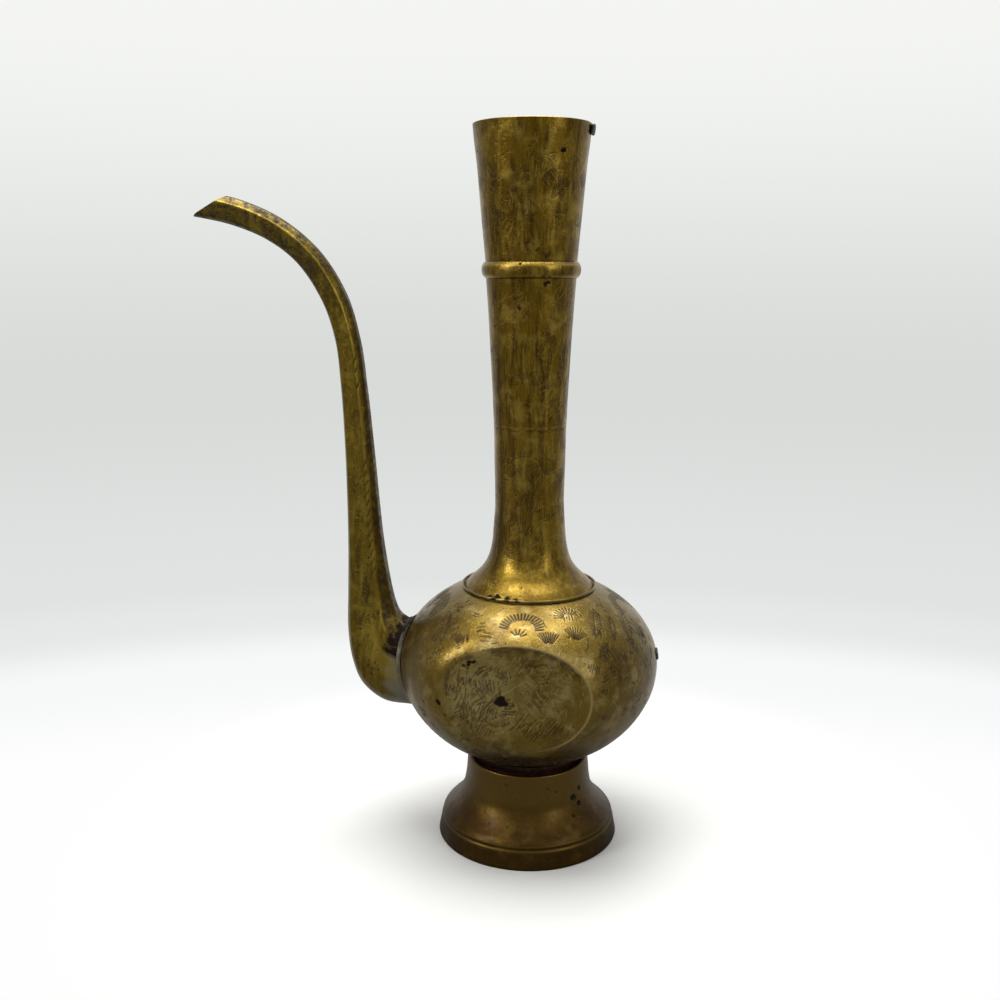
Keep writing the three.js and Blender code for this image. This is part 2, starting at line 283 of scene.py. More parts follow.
# A turned piece: outer and inner lines of (radius, height) carried around the axis.
# The outer line is cut with motifs and spots, then both are joined at their ends.
def turnedPiece(name, outer, inner, columns, material, motifs=(), stains=(), wearandhighlight=None, wave=0.06, cut=0.1, seed=1,
                scratches=()):
    angle = np.arange(columns) / columns * 2 * math.pi  # 0 faces the viewer, growing towards +X
    run = np.concatenate([[0], np.cumsum(np.linalg.norm(np.diff(outer, axis=0), axis=1))])
    radius = outer[None, :, 0]
    height = outer[None, :, 1]

    def toLocal(place):
        centre = math.radians(place[0])
        turned = (angle[:, None] - centre + math.pi) % (2 * math.pi) - math.pi
        along = run - np.interp(place[1], outer[:, 1], run)
        return np.broadcast_arrays(turned * radius, along[None])

    grooves = 0.8 * carve(np.zeros((columns, len(outer))), toLocal, motifs, 1.05)
    dark = spots(np.zeros_like(grooves), toLocal, stains)
    ends = np.minimum(run, run[-1] - run)
    uneven = wave * waviness(angle[:, None], run[None], seed) * smoothStep(0, 6, ends)[None]
    slope = np.gradient(outer, run, axis=0)
    out, up = slope[:, 1][None], -slope[:, 0][None]
    push = uneven - cut * grooves * smoothStep(0, 0.8, ends)[None] - 0.12 * dark
    outR, outZ = radius + out * push, height + up * push
    inR, inZ = (np.broadcast_to(inner[::-1, k], (columns, len(inner))) for k in range(2))
    r, z = np.concatenate([outR, inR], 1), np.concatenate([outZ, inZ], 1)
    x = r * np.sin(angle)[:, None] + axisX / millimetre
    y = -r * np.cos(angle)[:, None]
    rest = np.zeros((columns, len(inner)))
    wearAndHighlightMask = np.zeros_like(grooves) if wearandhighlight is None else np.broadcast_to(wearandhighlight(outer, run), grooves.shape)
    wearAndHighlightMask = np.maximum(wearAndHighlightMask, 0.5 * carve(np.zeros_like(grooves), toLocal, scratches, 0.95))
    marks = {"engraved": np.concatenate([grooves, rest], 1), "stainandshade": np.concatenate([dark, rest + 0.25], 1)}
    marks["wearandhighlight"] = np.concatenate([wearAndHighlightMask, rest], 1)
    points = np.stack([x, y, z], 2).reshape(-1, 3)
    return addPiece(name, points, [gridFaces(columns, r.shape[1], True)], material, marks)


# Materials. Every metal shares one patina group, with its own colours and amounts. Its input for stains also carries
# painted shade, and its input for rubbed metal also carries painted highlights.
def put(tree, kind, inputs=None, **settings):
    node = tree.nodes.new(kind)
    for key, value in settings.items():
        setattr(node, key, value)
    for key, value in (inputs or {}).items():
        if isinstance(value, bpy.types.NodeSocket):
            tree.links.new(value, node.inputs[key])
        else:
            node.inputs[key].default_value = value
    return node


def ramp(tree, value, low, high, toLow=0.0, toHigh=1.0):
    settings = {"Value": value, "From Min": low, "From Max": high, "To Min": toLow, "To Max": toHigh}
    return put(tree, "ShaderNodeMapRange", settings, interpolation_type="SMOOTHSTEP").outputs[0]


def steady(tree, value, low, high):
    return put(tree, "ShaderNodeMapRange", {"Value": value, "From Min": low, "From Max": high}).outputs[0]


def mixColour(tree, share, first, second, blend="MIX"):
    node = put(tree, "ShaderNodeMix", data_type="RGBA", blend_type=blend, clamp_factor=True)
    for socket, value in ((node.inputs[0], share), (node.inputs[6], first), (node.inputs[7], second)):
        if isinstance(value, bpy.types.NodeSocket):
            tree.links.new(value, socket)
        else:
            socket.default_value = value
    return node.outputs[2]


def maths(tree, operation, first, second=0.0):
    node = put(tree, "ShaderNodeMath", operation=operation)
    for socket, value in zip(node.inputs, (first, second)):
        if isinstance(value, bpy.types.NodeSocket):
            tree.links.new(value, socket)
        else:
            socket.default_value = value
    return node.outputs[0]


def noise(tree, place, scale, detail=4.0, rough=0.55, stretch=(1, 1, 1)):
    moved = put(tree, "ShaderNodeMapping", {"Vector": place, "Scale": stretch}).outputs[0]
    settings = {"Vector": moved, "Scale": scale, "Detail": detail, "Roughness": rough}
    return put(tree, "ShaderNodeTexNoise", settings).outputs[0]


def patinaGroup():
    tree = bpy.data.node_groups.new("patina", "ShaderNodeTree")
    colours = ("Bright", "Base", "Brown", "Dark")
    values = ("Engraved", "WearAndHighlight", "StainAndShade", "Soldered", "Blotch", "Streak", "Gloss")
    tree.interface.new_socket("Place", in_out="INPUT", socket_type="NodeSocketVector")
    for name in colours:
        tree.interface.new_socket(name, in_out="INPUT", socket_type="NodeSocketColor")
    for name in values:
        tree.interface.new_socket(name, in_out="INPUT", socket_type="NodeSocketFloat")
    tree.interface.new_socket("Colour", in_out="OUTPUT", socket_type="NodeSocketColor")
    tree.interface.new_socket("Roughness", in_out="OUTPUT", socket_type="NodeSocketFloat")
    tree.interface.new_socket("Height", in_out="OUTPUT", socket_type="NodeSocketFloat")
    tree.interface.new_socket("Bare", in_out="OUTPUT", socket_type="NodeSocketFloat")
    given = tree.nodes.new("NodeGroupInput").outputs
    place = given["Place"]
    cloud = noise(tree, place, 38, 6, 0.62)
    patches = noise(tree, place, 110, 5, 0.6)
    streaks = noise(tree, place, 42, 5, 0.6, (9, 9, 1))
    lightStreaks = noise(tree, place, 55, 4, 0.6, (6, 6, 1))
    grain = noise(tree, place, 1500, 3, 0.6)
    freckles = noise(tree, place, 620, 2, 0.5)
    rubbed = noise(tree, place, 900, 3, 0.65, (0.25, 0.25, 2.4))
    crossed = noise(tree, place, 700, 3, 0.65, (2.2, 0.2, 0.5))
    upright = noise(tree, place, 800, 3, 0.65, (2, 2, 0.14))
    brown = maths(tree, "MULTIPLY", ramp(tree, cloud, 0.42, 0.68), given["Blotch"])
    streaky = maths(tree, "MULTIPLY", ramp(tree, streaks, 0.43, 0.66), given["Streak"])
    colour = mixColour(tree, brown, given["Base"], given["Brown"])
    colour = mixColour(tree, streaky, colour, given["Brown"])
    pale = maths(tree, "MULTIPLY", ramp(tree, lightStreaks, 0.5, 0.72), given["Streak"])
    colour = mixColour(tree, maths(tree, "MULTIPLY", pale, 0.6), colour, given["Bright"])
    colour = mixColour(tree, ramp(tree, patches, 0.47, 0.75, 0, 0.7), colour, given["Bright"])
    smeared = maths(tree, "MULTIPLY", given["Soldered"], ramp(tree, patches, 0.3, 0.55, 0.45, 1))
    colour = mixColour(tree, smeared, colour, (0.2, 0.185, 0.14, 1))
    scuffs = maths(tree, "MULTIPLY", ramp(tree, rubbed, 0.58, 0.72, 0, 0.45), ramp(tree, cloud, 0.3, 0.6))
    scuffs = maths(tree, "MAXIMUM", scuffs, ramp(tree, crossed, 0.6, 0.72, 0, 0.45))
    scuffs = maths(tree, "MAXIMUM", scuffs, ramp(tree, upright, 0.6, 0.74, 0, 0.4))
    # rubbed metal, and the painted highlights that come in with it, lighten towards the Bright colour
    colour = mixColour(tree, maths(tree, "MAXIMUM", scuffs, given["WearAndHighlight"]), colour, given["Bright"])
    colour = mixColour(tree, ramp(tree, freckles, 0.66, 0.76, 0, 0.6), colour, given["Dark"])
    colour = mixColour(tree, maths(tree, "MULTIPLY", given["Engraved"], 0.87), colour, given["Dark"])
    ragged = ramp(tree, noise(tree, place, 420, 4, 0.6), 0.35, 0.65, 0, 0.45)
    # stains, and the painted shade that comes in with them, darken towards the Dark colour
    stainAndShadeMask = steady(tree, maths(tree, "SUBTRACT", maths(tree, "MULTIPLY", given["StainAndShade"], 1.4), ragged), 0, 1)
    colour = mixColour(tree, stainAndShadeMask, colour, given["Dark"])
    dull = maths(tree, "ADD", ramp(tree, cloud, 0.35, 0.7, -0.03, 0.1), ramp(tree, grain, 0.3, 0.7, -0.04, 0.06))
    dull = maths(tree, "ADD", dull, maths(tree, "MULTIPLY", stainAndShadeMask, 0.25))
    dull = maths(tree, "ADD", dull, maths(tree, "MULTIPLY", given["Engraved"], 0.15))
    rough = maths(tree, "ADD", given["Gloss"], dull)
    bumps = maths(tree, "ADD", maths(tree, "MULTIPLY", grain, 0.35), maths(tree, "MULTIPLY", patches, 1.2))
    bumps = maths(tree, "SUBTRACT", bumps, ramp(tree, freckles, 0.64, 0.76, 0, 0.5))
    bumps = maths(tree, "SUBTRACT", bumps, maths(tree, "MULTIPLY", scuffs, 0.4))
    result = tree.nodes.new("NodeGroupOutput")
    tree.links.new(colour, result.inputs["Colour"])
    tree.links.new(rough, result.inputs["Roughness"])
    tree.links.new(bumps, result.inputs["Height"])
    covered = ramp(tree, maths(tree, "MAXIMUM", stainAndShadeMask, given["Engraved"]), 0.55, 0.95, 0, 0.9)
    tree.links.new(maths(tree, "SUBTRACT", 1.0, covered), result.inputs["Bare"])
    return tree


patina = patinaGroup()


def metal(name, looks):
    material = bpy.data.materials.new(name)
    material.use_nodes = True
    tree = material.node_tree
    shader = tree.nodes["Principled BSDF"]
    shader.inputs["Coat Roughness"].default_value = 0.28
    group = put(tree, "ShaderNodeGroup", node_tree=patina)
    tree.links.new(put(tree, "ShaderNodeTexCoord").outputs["Object"], group.inputs["Place"])
    for colour in ("Bright", "Base", "Brown", "Dark"):
        group.inputs[colour].default_value = (*looks[colour], 1)
    for value in ("Blotch", "Streak", "Gloss"):
        group.inputs[value].default_value = looks[value]
    for mark in ("Engraved", "WearAndHighlight", "StainAndShade", "Soldered"):
        source = put(tree, "ShaderNodeAttribute", attribute_name=mark.lower())
        tree.links.new(source.outputs["Fac"], group.inputs[mark])
    bare = group.outputs["Bare"]
    tree.links.new(maths(tree, "MULTIPLY", bare, looks["metallic"]), shader.inputs["Metallic"])
    tree.links.new(maths(tree, "MULTIPLY", bare, looks["sheen"]), shader.inputs["Coat Weight"])
    tree.links.new(maths(tree, "MULTIPLY", bare, 0.5), shader.inputs["Specular IOR Level"])
    tree.links.new(group.outputs["Colour"], shader.inputs["Base Color"])
    tree.links.new(group.outputs["Roughness"], shader.inputs["Roughness"])
    relief = {"Height": group.outputs["Height"], "Strength": looks["relief"], "Distance": 0.0004}
    tree.links.new(put(tree, "ShaderNodeBump", relief).outputs[0], shader.inputs["Normal"])
    return material


agedBrass = metal("agedBrass", {
    "metallic": 1.0, "Bright": (0.38, 0.255, 0.045), "Base": (0.17, 0.1, 0.0045), "Brown": (0.06, 0.029, 0.002),
    "Dark": (0.01, 0.0045, 0.002), "Blotch": 0.85, "Streak": 0.9, "Gloss": 0.28, "relief": 0.45, "sheen": 0.13})
bowlBrass = metal("bowlBrass", {
    "metallic": 1.0, "Bright": (0.37, 0.285, 0.105), "Base": (0.17, 0.108, 0.011), "Brown": (0.075, 0.041, 0.004),
    "Dark": (0.01, 0.0045, 0.002), "Blotch": 0.9, "Streak": 0.1, "Gloss": 0.33, "relief": 0.45, "sheen": 0.22})
warmBrass = metal("warmBrass", {
    "metallic": 1.0, "Bright": (0.118, 0.07, 0.011), "Base": (0.06, 0.031, 0.0015), "Brown": (0.035, 0.014, 0.001),
    "Dark": (0.008, 0.0035, 0.002), "Blotch": 0.8, "Streak": 0.2, "Gloss": 0.32, "relief": 0.4, "sheen": 0.16})
spoutBrass = metal("spoutBrass", {
    "metallic": 1.0, "Bright": (0.34, 0.24, 0.035), "Base": (0.17, 0.113, 0.009), "Brown": (0.08, 0.045, 0.004),
    "Dark": (0.01, 0.005, 0.002), "Blotch": 0.45, "Streak": 0.8, "Gloss": 0.32, "relief": 0.4, "sheen": 0.15})
darkBraze = metal("darkBraze", {
    "metallic": 0.85, "Bright": (0.1, 0.035, 0.025), "Base": (0.024, 0.006, 0.004), "Brown": (0.012, 0.004, 0.003),
    "Dark": (0.005, 0.002, 0.002), "Blotch": 0.8, "Streak": 0.0, "Gloss": 0.38, "relief": 0.9, "sheen": 0.2})
greySolder = metal("greySolder", {
    "metallic": 0.9, "Bright": (0.32, 0.29, 0.22), "Base": (0.16, 0.14, 0.1), "Brown": (0.045, 0.036, 0.016),
    "Dark": (0.009, 0.009, 0.005), "Blotch": 0.8, "Streak": 0.0, "Gloss": 0.42, "relief": 0.9, "sheen": 0.1})
print("materials made")


# Foot: a band, a groove, a rounded shoulder and an ogee up to a thin lip
footShape = {"wall": 1.6, "edge": 2.4, "lip": 3.1, "webBore": 21, "columns": 360, "step": 0.45}


def makeFoot():
    top = highZ("foot")
    webTop = lowZ("stem_ring")
    band = np.array([(42.55, 0.0), (43.0, 0.5), (42.75, 2.2), (42.2, 5), (41.55, 8.3), (41.2, 8.9)])
    groove = np.array([(40.95, 9.25), (40.92, 9.6), (41.02, 9.95)])
    ogee = [(41.05, 10.3), (40.75, 11.1), (39.6, 12.7), (38, 14.2), (35.4, 16.7), (33, 19.6), (31.1, 23),
            (30.2, 26.5), (29.6, 30.5), (29.25, 34.5), (28.95, 38.6)]
    lip = np.array([(28.85, top - 0.45), (28.5, top - 0.08), (28.1, top)])
    parts = [evenLine(line, footShape["step"]) for line in (band, groove, ogee)]
    outer = np.vstack([*parts, lip])
    wall = footShape["wall"]
    lipRadius = 28.9 - wall
    under = webTop - wall
    inner = np.array([(42.9 - footShape["edge"], 0), (42.9 - footShape["edge"], 2), (39.2, 9), (37.4, 12), (34, 15.6),
                      (31.2, 20), (29, 25), (28, 30), (lipRadius, under), (footShape["webBore"], under),
                      (footShape["webBore"], webTop), (lipRadius, webTop), (lipRadius, top - 0.3)])
    motifs = [((14, 2.6), 0, hatchStrokes(2, 3, 1, 4)), ((160, 30), 20, hatchStrokes(3, 4, 1.4, 12))]
    stains = [((52, 26), 1.9, 0.9), ((57, 22.5), 1.5, 0.9), ((61, 29), 1.4, 0.8), ((47, 19), 1.1, 0.7), ((-3, 28.5), 0.6, 0.6),
              ((33, 31), 0.7, 0.8), ((-24, 17), 0.7, 0.6), ((20, 5), 0.6, 0.6), ((200, 27), 1.5, 0.8),
              ((118, 12), 1.0, 0.7), ((-110, 24), 1.1, 0.8)]

    # Bright lines at the groove's edges and the lip, and the ogee lighter towards its top
    def wearandhighlight(line, run):
        edge = np.exp(-((line[:, 1] - 8.6) / 0.4) ** 2) + np.exp(-((line[:, 1] - 10.6) / 0.5) ** 2)
        return 0.7 * edge + 0.95 * smoothStep(17, 31, line[:, 1]) + 0.4 * np.exp(-((line[:, 1] - top) / 0.4) ** 2)

    piece = turnedPiece("turnedFoot", outer, inner, footShape["columns"], warmBrass, motifs, stains, wearandhighlight, wave=0.05, seed=4)
    standFor(piece, "foot")


makeFoot()


# Dark braze ring between the foot's lip and the bowl, lumpy as it ran
def makeStemRing():
    low, high = lowZ("stem_ring"), highZ("stem_ring")
    radius = halfWidth("stem_ring")
    outer = evenLine([(radius - 0.6, low), (radius - 0.15, low + 1.2), (radius - 0.5, low + 3.4),
                      (radius - 0.2, high - 0.9), (radius - 0.05, high - 0.25)], 0.4)
    inner = np.array([(22.3, low), (22.3, high - 1.8)])
    piece = turnedPiece("stemRing", outer, inner, 240, darkBraze, wave=0.18, seed=9)
    standFor(piece, "stem_ring")


makeStemRing()

# Bowl: two half ellipsoids, flattened front and back, with the mouth under the neck
bowlShape = {"radius": 60.8, "wall": 1.4, "columns": 776, "mouth": 27.0, "crispEdge": 0.4, "softEdge": 7.0, "dish": 0.55}
waistZ = highZ("lower_bowl")
bowlDepth = waistZ - lowZ("lower_bowl")
bowlRise = 41.8
facetY = (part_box("lower_bowl")[1].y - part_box("lower_bowl")[0].y) / 2 / millimetre

fan = arcStrokes(11, 10, 8, 64, 0.22) + fanStrokes(18, 5.8, 10.3, 4, 172, 0.42)
sprig = fanStrokes(5, 1.0, 4.4, 20, 140, 0.36)
shellFan = fanStrokes(9, 2.0, 8.0, 55, 128, 0.3)
scallop = fanStrokes(10, 2.2, 6.6, 20, 165, 0.3) + hatchStrokes(4, 3.4, 1.3, 70)
roundLeaf = arcStrokes(6.4, 6.6, -40, 20) + fanStrokes(10, 0.8, 7.4, 30, 125, 0.27)
longLeaf = leafStrokes(19, 8.5, 9)
smallLeaf = leafStrokes(9.5, 5, 5)
tuft = fanStrokes(6, 1.5, 5.2, 60, 125, 0.3) + hatchStrokes(3, 2.4, 1.1, 15)
dashes = hatchStrokes(3, 6.5, 2.0, 4) + [stroke((-5, 1.5), (-3.2, 3.4), 0.3), stroke((4, -3), (7.5, -2.2), 0.3, 0.1)]
smallHatch = hatchStrokes(6, 4.4, 1.05, 62)


# Motifs on the shoulder: those of the photographed side by their angle and height, then
# the same family carried on around the rest of the bowl
def shoulderMotifs():
    motifs = [
        ((2.4, 115.2), 0, fan), ((0.8, 113.2), 0, sprig), ((16.5, 109.6), -6, shellFan), ((32.5, 118.6), 8, scallop),
        ((30.5, 111), -14, roundLeaf), ((48, 115.4), -32, longLeaf), ((57, 112.5), -30, leafStrokes(15, 5, 6)),
        ((63, 103.2), -18, tuft), ((-16.5, 112.3), 0, dashes), ((-21, 115.2), 12, hatchStrokes(3, 5, 2.1, 8)),
        ((-29, 107.6), 18, tuft), ((-33, 110.5), 40, smallHatch), ((36, 100.4), 0, smallHatch), ((11.5, 106.6), 60, smallLeaf),
        ((44, 106.2), -50, smallLeaf), ((53, 101.5), 10, smallHatch), ((69, 111), -36, longLeaf), ((78, 103), 10, roundLeaf),
        ((-45, 112), 35, longLeaf), ((-58, 105), -15, smallLeaf), ((-49, 119), 20, smallHatch), ((-72, 99.5), 10, smallHatch),
    ]
    rng = np.random.default_rng(21)
    kinds = [fan, shellFan, scallop, roundLeaf, longLeaf, tuft, smallLeaf, smallHatch, dashes]
    for k, angle in enumerate(np.arange(88, 300, 12.5)):
        upper = kinds[[0, 4, 2, 3][k % 4]]
        motifs.append(((angle, 114.5 + 1.5 * (k % 2)), float(rng.uniform(-14, 14)), upper))
        if 100 < angle < 250:
            lower = kinds[[1, 6, 5, 7][k % 4]]
            motifs.append(((angle + 6, 103.5 + float(rng.uniform(-2, 2))), float(rng.uniform(-35, 35)), lower))
    motifs += strewn(31, 24, (-95, -18), (98, 121), 6, 3.2, 60) + strewn(32, 50, (100, 262), (92, 121), 6, 3.2, 60)
    motifs += strewn(33, 16, (34, 95), (88, 108), 5, 3.2, 40) + strewn(34, 9, (40, 90), (108, 121), 5, 3, 60)
    motifs += [((angle, 118 - 3 * (k % 2)), 24, leafStrokes(10, 4.4, 6)) for k, angle in enumerate((272, 279, 286, 293))]
    return motifs


# Motifs on the flattened sides, by their place across and up from the waist
facetMotifs = [
    ((-18, 1), 0, foliage(3, 80, 12, 13, 3.8, 66, 0.24, 0.1, 0.5)), ((-6, -9), 0, foliage(5, 34, 11, 7, 4.2, 42, 0.22, 0.08, 0.4)),
    ((-23, -10), 0, foliage(6, 18, 6, 7, 3.2, 80, 0.26, 0.1, 0.5)), ((9, -14), 0, foliage(7, 12, 8, 5, 3.6, 45, 0.22, 0.08, 0.3)),
    ((-13.5, 1.5), 0, hatchStrokes(5, 6.5, 1.3, -52, 0.36)), ((-28, 2), 0, hatchStrokes(5, 3.6, 1.1, 74, 0.3)),
    ((6, 8), 0, foliage(8, 16, 14, 8, 2.6, 120, 0.2, 0.05, 0.4)),
    ((-21.5, 6), 0, hatchStrokes(7, 4.6, 1.15, 84, 0.34)),
    ((-13, 4), -38, hatchStrokes(6, 7.5, 1.5, -40, 0.34)), ((-12, -7), 20, hatchStrokes(7, 6, 1.3, 52)),
    ((-24, -9), -10, hatchStrokes(5, 5, 1.4, 40)), ((-4.5, 6.5), 20, tuft), ((-9, 12), 0, hatchStrokes(4, 3.4, 1.1, 75)),
    ((-3, -5), -30, hatchStrokes(6, 6.5, 1.3, 30)), ((6.5, -17), 0, hatchStrokes(6, 5.6, 1.25, 58)),
    ((-14, -16), 0, hatchStrokes(6, 4.8, 1.3, 66)), ((5, 14.5), 20, hatchStrokes(4, 3.2, 1.2, 48, 0.22)),
    ((18, -12), 30, hatchStrokes(5, 5, 1.5, 25, 0.22)),
]
faintMotifs = [((-15, 1), 0, foliage(13, 70, 14, 13, 4.6, 60, 0.24, 0.04)), ((8, 12), 0, foliage(11, 34, 13, 8, 3.6, 35, 0.18, 0.03)),
               ((20, 2), 0, foliage(12, 40, 11, 12, 3.2, 70, 0.18, 0.03)), ((2, -6), 0, foliage(14, 40, 18, 10, 3, 50, 0.18, 0.03)),
               ((3, 14), 30, hatchStrokes(6, 6, 1.8, 20, 0.22)), ((12, 11), -20, hatchStrokes(7, 5.5, 1.7, 30, 0.22)),
               ((20, 4), 15, hatchStrokes(5, 7, 2.4, -30, 0.3)), ((10, -2), -10, hatchStrokes(5, 8, 2.6, -40, 0.28)),
               ((24, 12), 0, hatchStrokes(4, 5, 1.8, -55, 0.3)), ((-8, -14), 0, hatchStrokes(4, 6, 2.2, 15, 0.28))]
lowerMotifs = [((-48, 74), 20, smallHatch), ((52, 78), -20, hatchStrokes(3, 5, 1.6, 30)), ((140, 72), 10, tuft),
               ((216, 76), 30, smallHatch), ((98, 70), 0, hatchStrokes(4, 6, 1.5, 12))]
lowerMotifs += strewn(41, 40, (0, 360), (56, 86), 4, 3.4, 20)


# One half of the bowl. The surface is the ellipsoid's, with its depth pressed flat where it
# passes the facet. The edge of the facet is crisp above and to the right, and fades to the left.
def makeBowlHalf(name, node, upperHalf):
    rise = bowlRise if upperHalf else bowlDepth
    radius, wall, columns = bowlShape["radius"], bowlShape["wall"], bowlShape["columns"]
    topAngle = math.acos(bowlShape["mouth"] / radius) if upperHalf else math.pi / 2
    fine = np.linspace(0, topAngle, 2000)
    line = np.stack([radius * np.cos(fine), rise * np.sin(fine)], 1)
    run = np.concatenate([[0], np.cumsum(np.linalg.norm(np.diff(line, axis=0), axis=1))])
    rows = 112 if upperHalf else 114
    even = np.linspace(0, 1, rows) * run[-1] if upperHalf else np.linspace(0, 1, rows) ** 1.12 * run[-1]
    tilt = np.interp(even, run, fine)
    innerRows = 9
    innerTop = math.acos(bowlShape["mouth"] / (radius - wall)) if upperHalf else math.pi / 2
    innerTilt = np.linspace(innerTop, 0, innerRows)
    way = 1 if upperHalf else -1
    angle = np.arange(columns) / columns * 2 * math.pi
    outR, outUp = radius * np.cos(tilt), way * rise * np.sin(tilt)
    inR, inUp = (radius - wall) * np.cos(innerTilt), way * (rise - wall) * np.sin(innerTilt)

    def toLocal(place):
        turned = (angle[:, None] - math.radians(place[0]) + math.pi) % (2 * math.pi) - math.pi
        up = (place[1] - waistZ) * way
        centreRun = np.interp(up, rise * np.sin(fine), run) if up > 0 else up
        return np.broadcast_arrays(turned * outR[None], way * (even - centreRun)[None])

    wave = 0.14 * waviness(angle[:, None], way * even[None], 31)
    r = outR[None] + wave * smoothStep(0, 4, even[-1] - even)[None] * np.cos(tilt)[None]
    x = r * np.sin(angle)[:, None]
    y = -r * np.cos(angle)[:, None]
    up = np.broadcast_to(outUp, x.shape)
    flat = facetY - bowlShape["dish"] * np.clip(1 - (x / 33) ** 2 - (up / 25) ** 2, 0, 1)
    across = x * np.sign(-y)
    fade = np.maximum(smoothStep(-5, -20, across), smoothStep(24, 8, across) * smoothStep(2, -12, up))
    blend = bowlShape["crispEdge"] + (bowlShape["softEdge"] - bowlShape["crispEdge"]) * fade
    over = np.abs(y) - flat
    h = np.clip(0.5 + 0.5 * over / blend, 0, 1)
    pressed = np.abs(y) * (1 - h) + flat * h - blend * h * (1 - h)
    onFacet = smoothStep(-0.3, 0.5, over)
    # The facet's ridge is rubbed bright and also carries a painted highlight line, fainter where the edge fades
    ridge = np.exp(-(over / 0.35) ** 2) * (1 - 0.85 * fade)
    y = np.sign(y) * pressed

    def toFacet(place):
        side = np.sign(-y)
        far = np.where(onFacet > 0.2, 0.0, 1000.0)
        return x * side - place[0] + far, up - place[1]

    grooves = carve(np.zeros_like(x), toLocal, shoulderMotifs() if upperHalf else lowerMotifs, 1.5) * (1 - onFacet)
    grooves = carve(grooves, toFacet, facetMotifs)
    faint = carve(np.zeros_like(x), toFacet, faintMotifs)
    faint = carve(faint, toLocal, strewn(71, 90, (0, 360), (58, 121), 4, 5.5, 40), 0.85)
    stains = [((-6.2, 84.6), 2.6, 1.0), ((-4.4, 83.3), 1.6, 1.0), ((-34.6, 81.8), 1.5, 1.0), ((-20.7, 101.2), 1.5, 1.0),
              ((-18.6, 101.9), 1.2, 0.9), ((-23, 100), 1.0, 0.8), ((28, 112.5), 0.6, 0.8), ((-32, 76), 1.0, 0.6),
              ((60, 102), 0.9, 0.7), ((170, 90), 1.6, 0.9), ((150, 104), 1.2, 0.8), ((215, 80), 1.4, 0.8)]
    if upperHalf:
        stains += [((-88, 103), 5.0, 0.75), ((-84, 98), 3.0, 0.5), ((-94, 99), 4.0, 0.7)]
    dark = spots(np.zeros_like(x), toLocal, [s for s in stains if (s[0][1] - waistZ) * way > -3])
    arc = np.abs(np.hypot(x + 17.5, (up - 3.5)) - 13.2)
    smudge = np.exp(-(arc / 1.3) ** 2) * smoothStep(-8, 4, up) * smoothStep(6, -4, x + 17) * (y < 0)
    # Painted shade: darker just under the facet's ridge and across the upper part of the facet
    shade = 0.5 * smoothStep(0.3, 1, over) * np.exp(-(over / 4) ** 2) * onFacet * (1 - fade) * smoothStep(2, 14, up)
    shade = np.maximum(shade, 0.35 * np.exp(-((across - 9) / 15) ** 2 - ((up - 16) / 7) ** 2) * onFacet)
    # the lowest part of the underside is darkened, reaching higher at the front and back
    underside = 0.72 * smoothStep(-46.0, -47.6, 0.904 * up - 0.427 * np.abs(y))
    dark = np.maximum(dark, np.maximum(np.maximum(0.6 * smudge, underside), shade))
    seat = smoothStep(2.5, 0.0, even[-1] - even)[None] if upperHalf else 0
    ends = smoothStep(0, 0.8, even)[None]
    inwards = (0.11 * grooves + 0.2 * dark + 0.03 * faint) * ends
    slope = np.cos(tilt)[None] / radius, way * np.sin(tilt)[None] / rise
    size = np.hypot(*slope)
    push = inwards * (1 - onFacet)
    x, up = x - push * slope[0] / size * np.sin(angle)[:, None], up - push * slope[1] / size
    y = y + push * slope[0] / size * np.cos(angle)[:, None] - np.sign(y) * inwards * onFacet
    ix, iy = inR[None] * np.sin(angle)[:, None], -inR[None] * np.cos(angle)[:, None]
    iy = np.clip(iy, wall - facetY + 0.6, facetY - wall - 0.6)
    iup = np.broadcast_to(inUp, ix.shape)
    if not upperHalf:
        x[:, -1], y[:, -1], ix[:, 0], iy[:, 0] = 0, 0, 0, 0
    grid = [np.concatenate(pair, 1) for pair in ((x, ix), (y, iy), (up, iup))]
    rest = np.zeros_like(ix)
    marks = {"engraved": np.concatenate([grooves, rest], 1)}
    marks["stainandshade"] = np.concatenate([np.clip(dark + 0.5 * seat, 0, 1), rest + 0.3], 1)
    rubbed = 0.8 * np.exp(-((across + 16) ** 2 + (up - 1) ** 2) / 15 ** 2) * onFacet
    marks["wearandhighlight"] = np.concatenate([np.clip(np.maximum(ridge, rubbed) + 0.6 * faint, 0, 1), rest], 1)
    points = np.stack([grid[0] + axisX / millimetre, grid[1], grid[2] + waistZ], 2)
    wide = points.shape[1]
    if upperHalf:
        points, faces = points.reshape(-1, 3), [gridFaces(columns, wide, True)]
    else:
        points, faces, marks = closePoles(points, marks, rows, columns)
    piece = addPiece(name, points, faces if upperHalf else [f[:, ::-1] for f in faces], bowlBrass, marks)
    cutSpoutHole(piece)
    standFor(piece, node)


# The lower half's outer and inner grids meet the axis: their last rows become one point each
def closePoles(points, marks, rows, columns):
    wide = points.shape[1]
    innerWide = wide - rows
    keep = [k for k in range(wide) if k not in (rows - 1, rows)]
    body = points[:, keep].reshape(-1, 3)
    kept = rows - 1
    total = wide - 2
    quads = gridFaces(columns, total, True)
    column = quads[:, 0] % total
    quads = quads[column != kept - 1]
    outerPole, innerPole = len(body), len(body) + 1
    caps = [capFaces(columns, total, kept - 1, outerPole, False), capFaces(columns, total, kept, innerPole, True)]
    ends = np.array([points[0, rows - 1], points[0, rows]])
    marks = {key: np.append(value[:, keep].ravel(), [0.0, 0.0]) for key, value in marks.items()}
    return np.vstack([body, ends]), [quads, *caps], marks


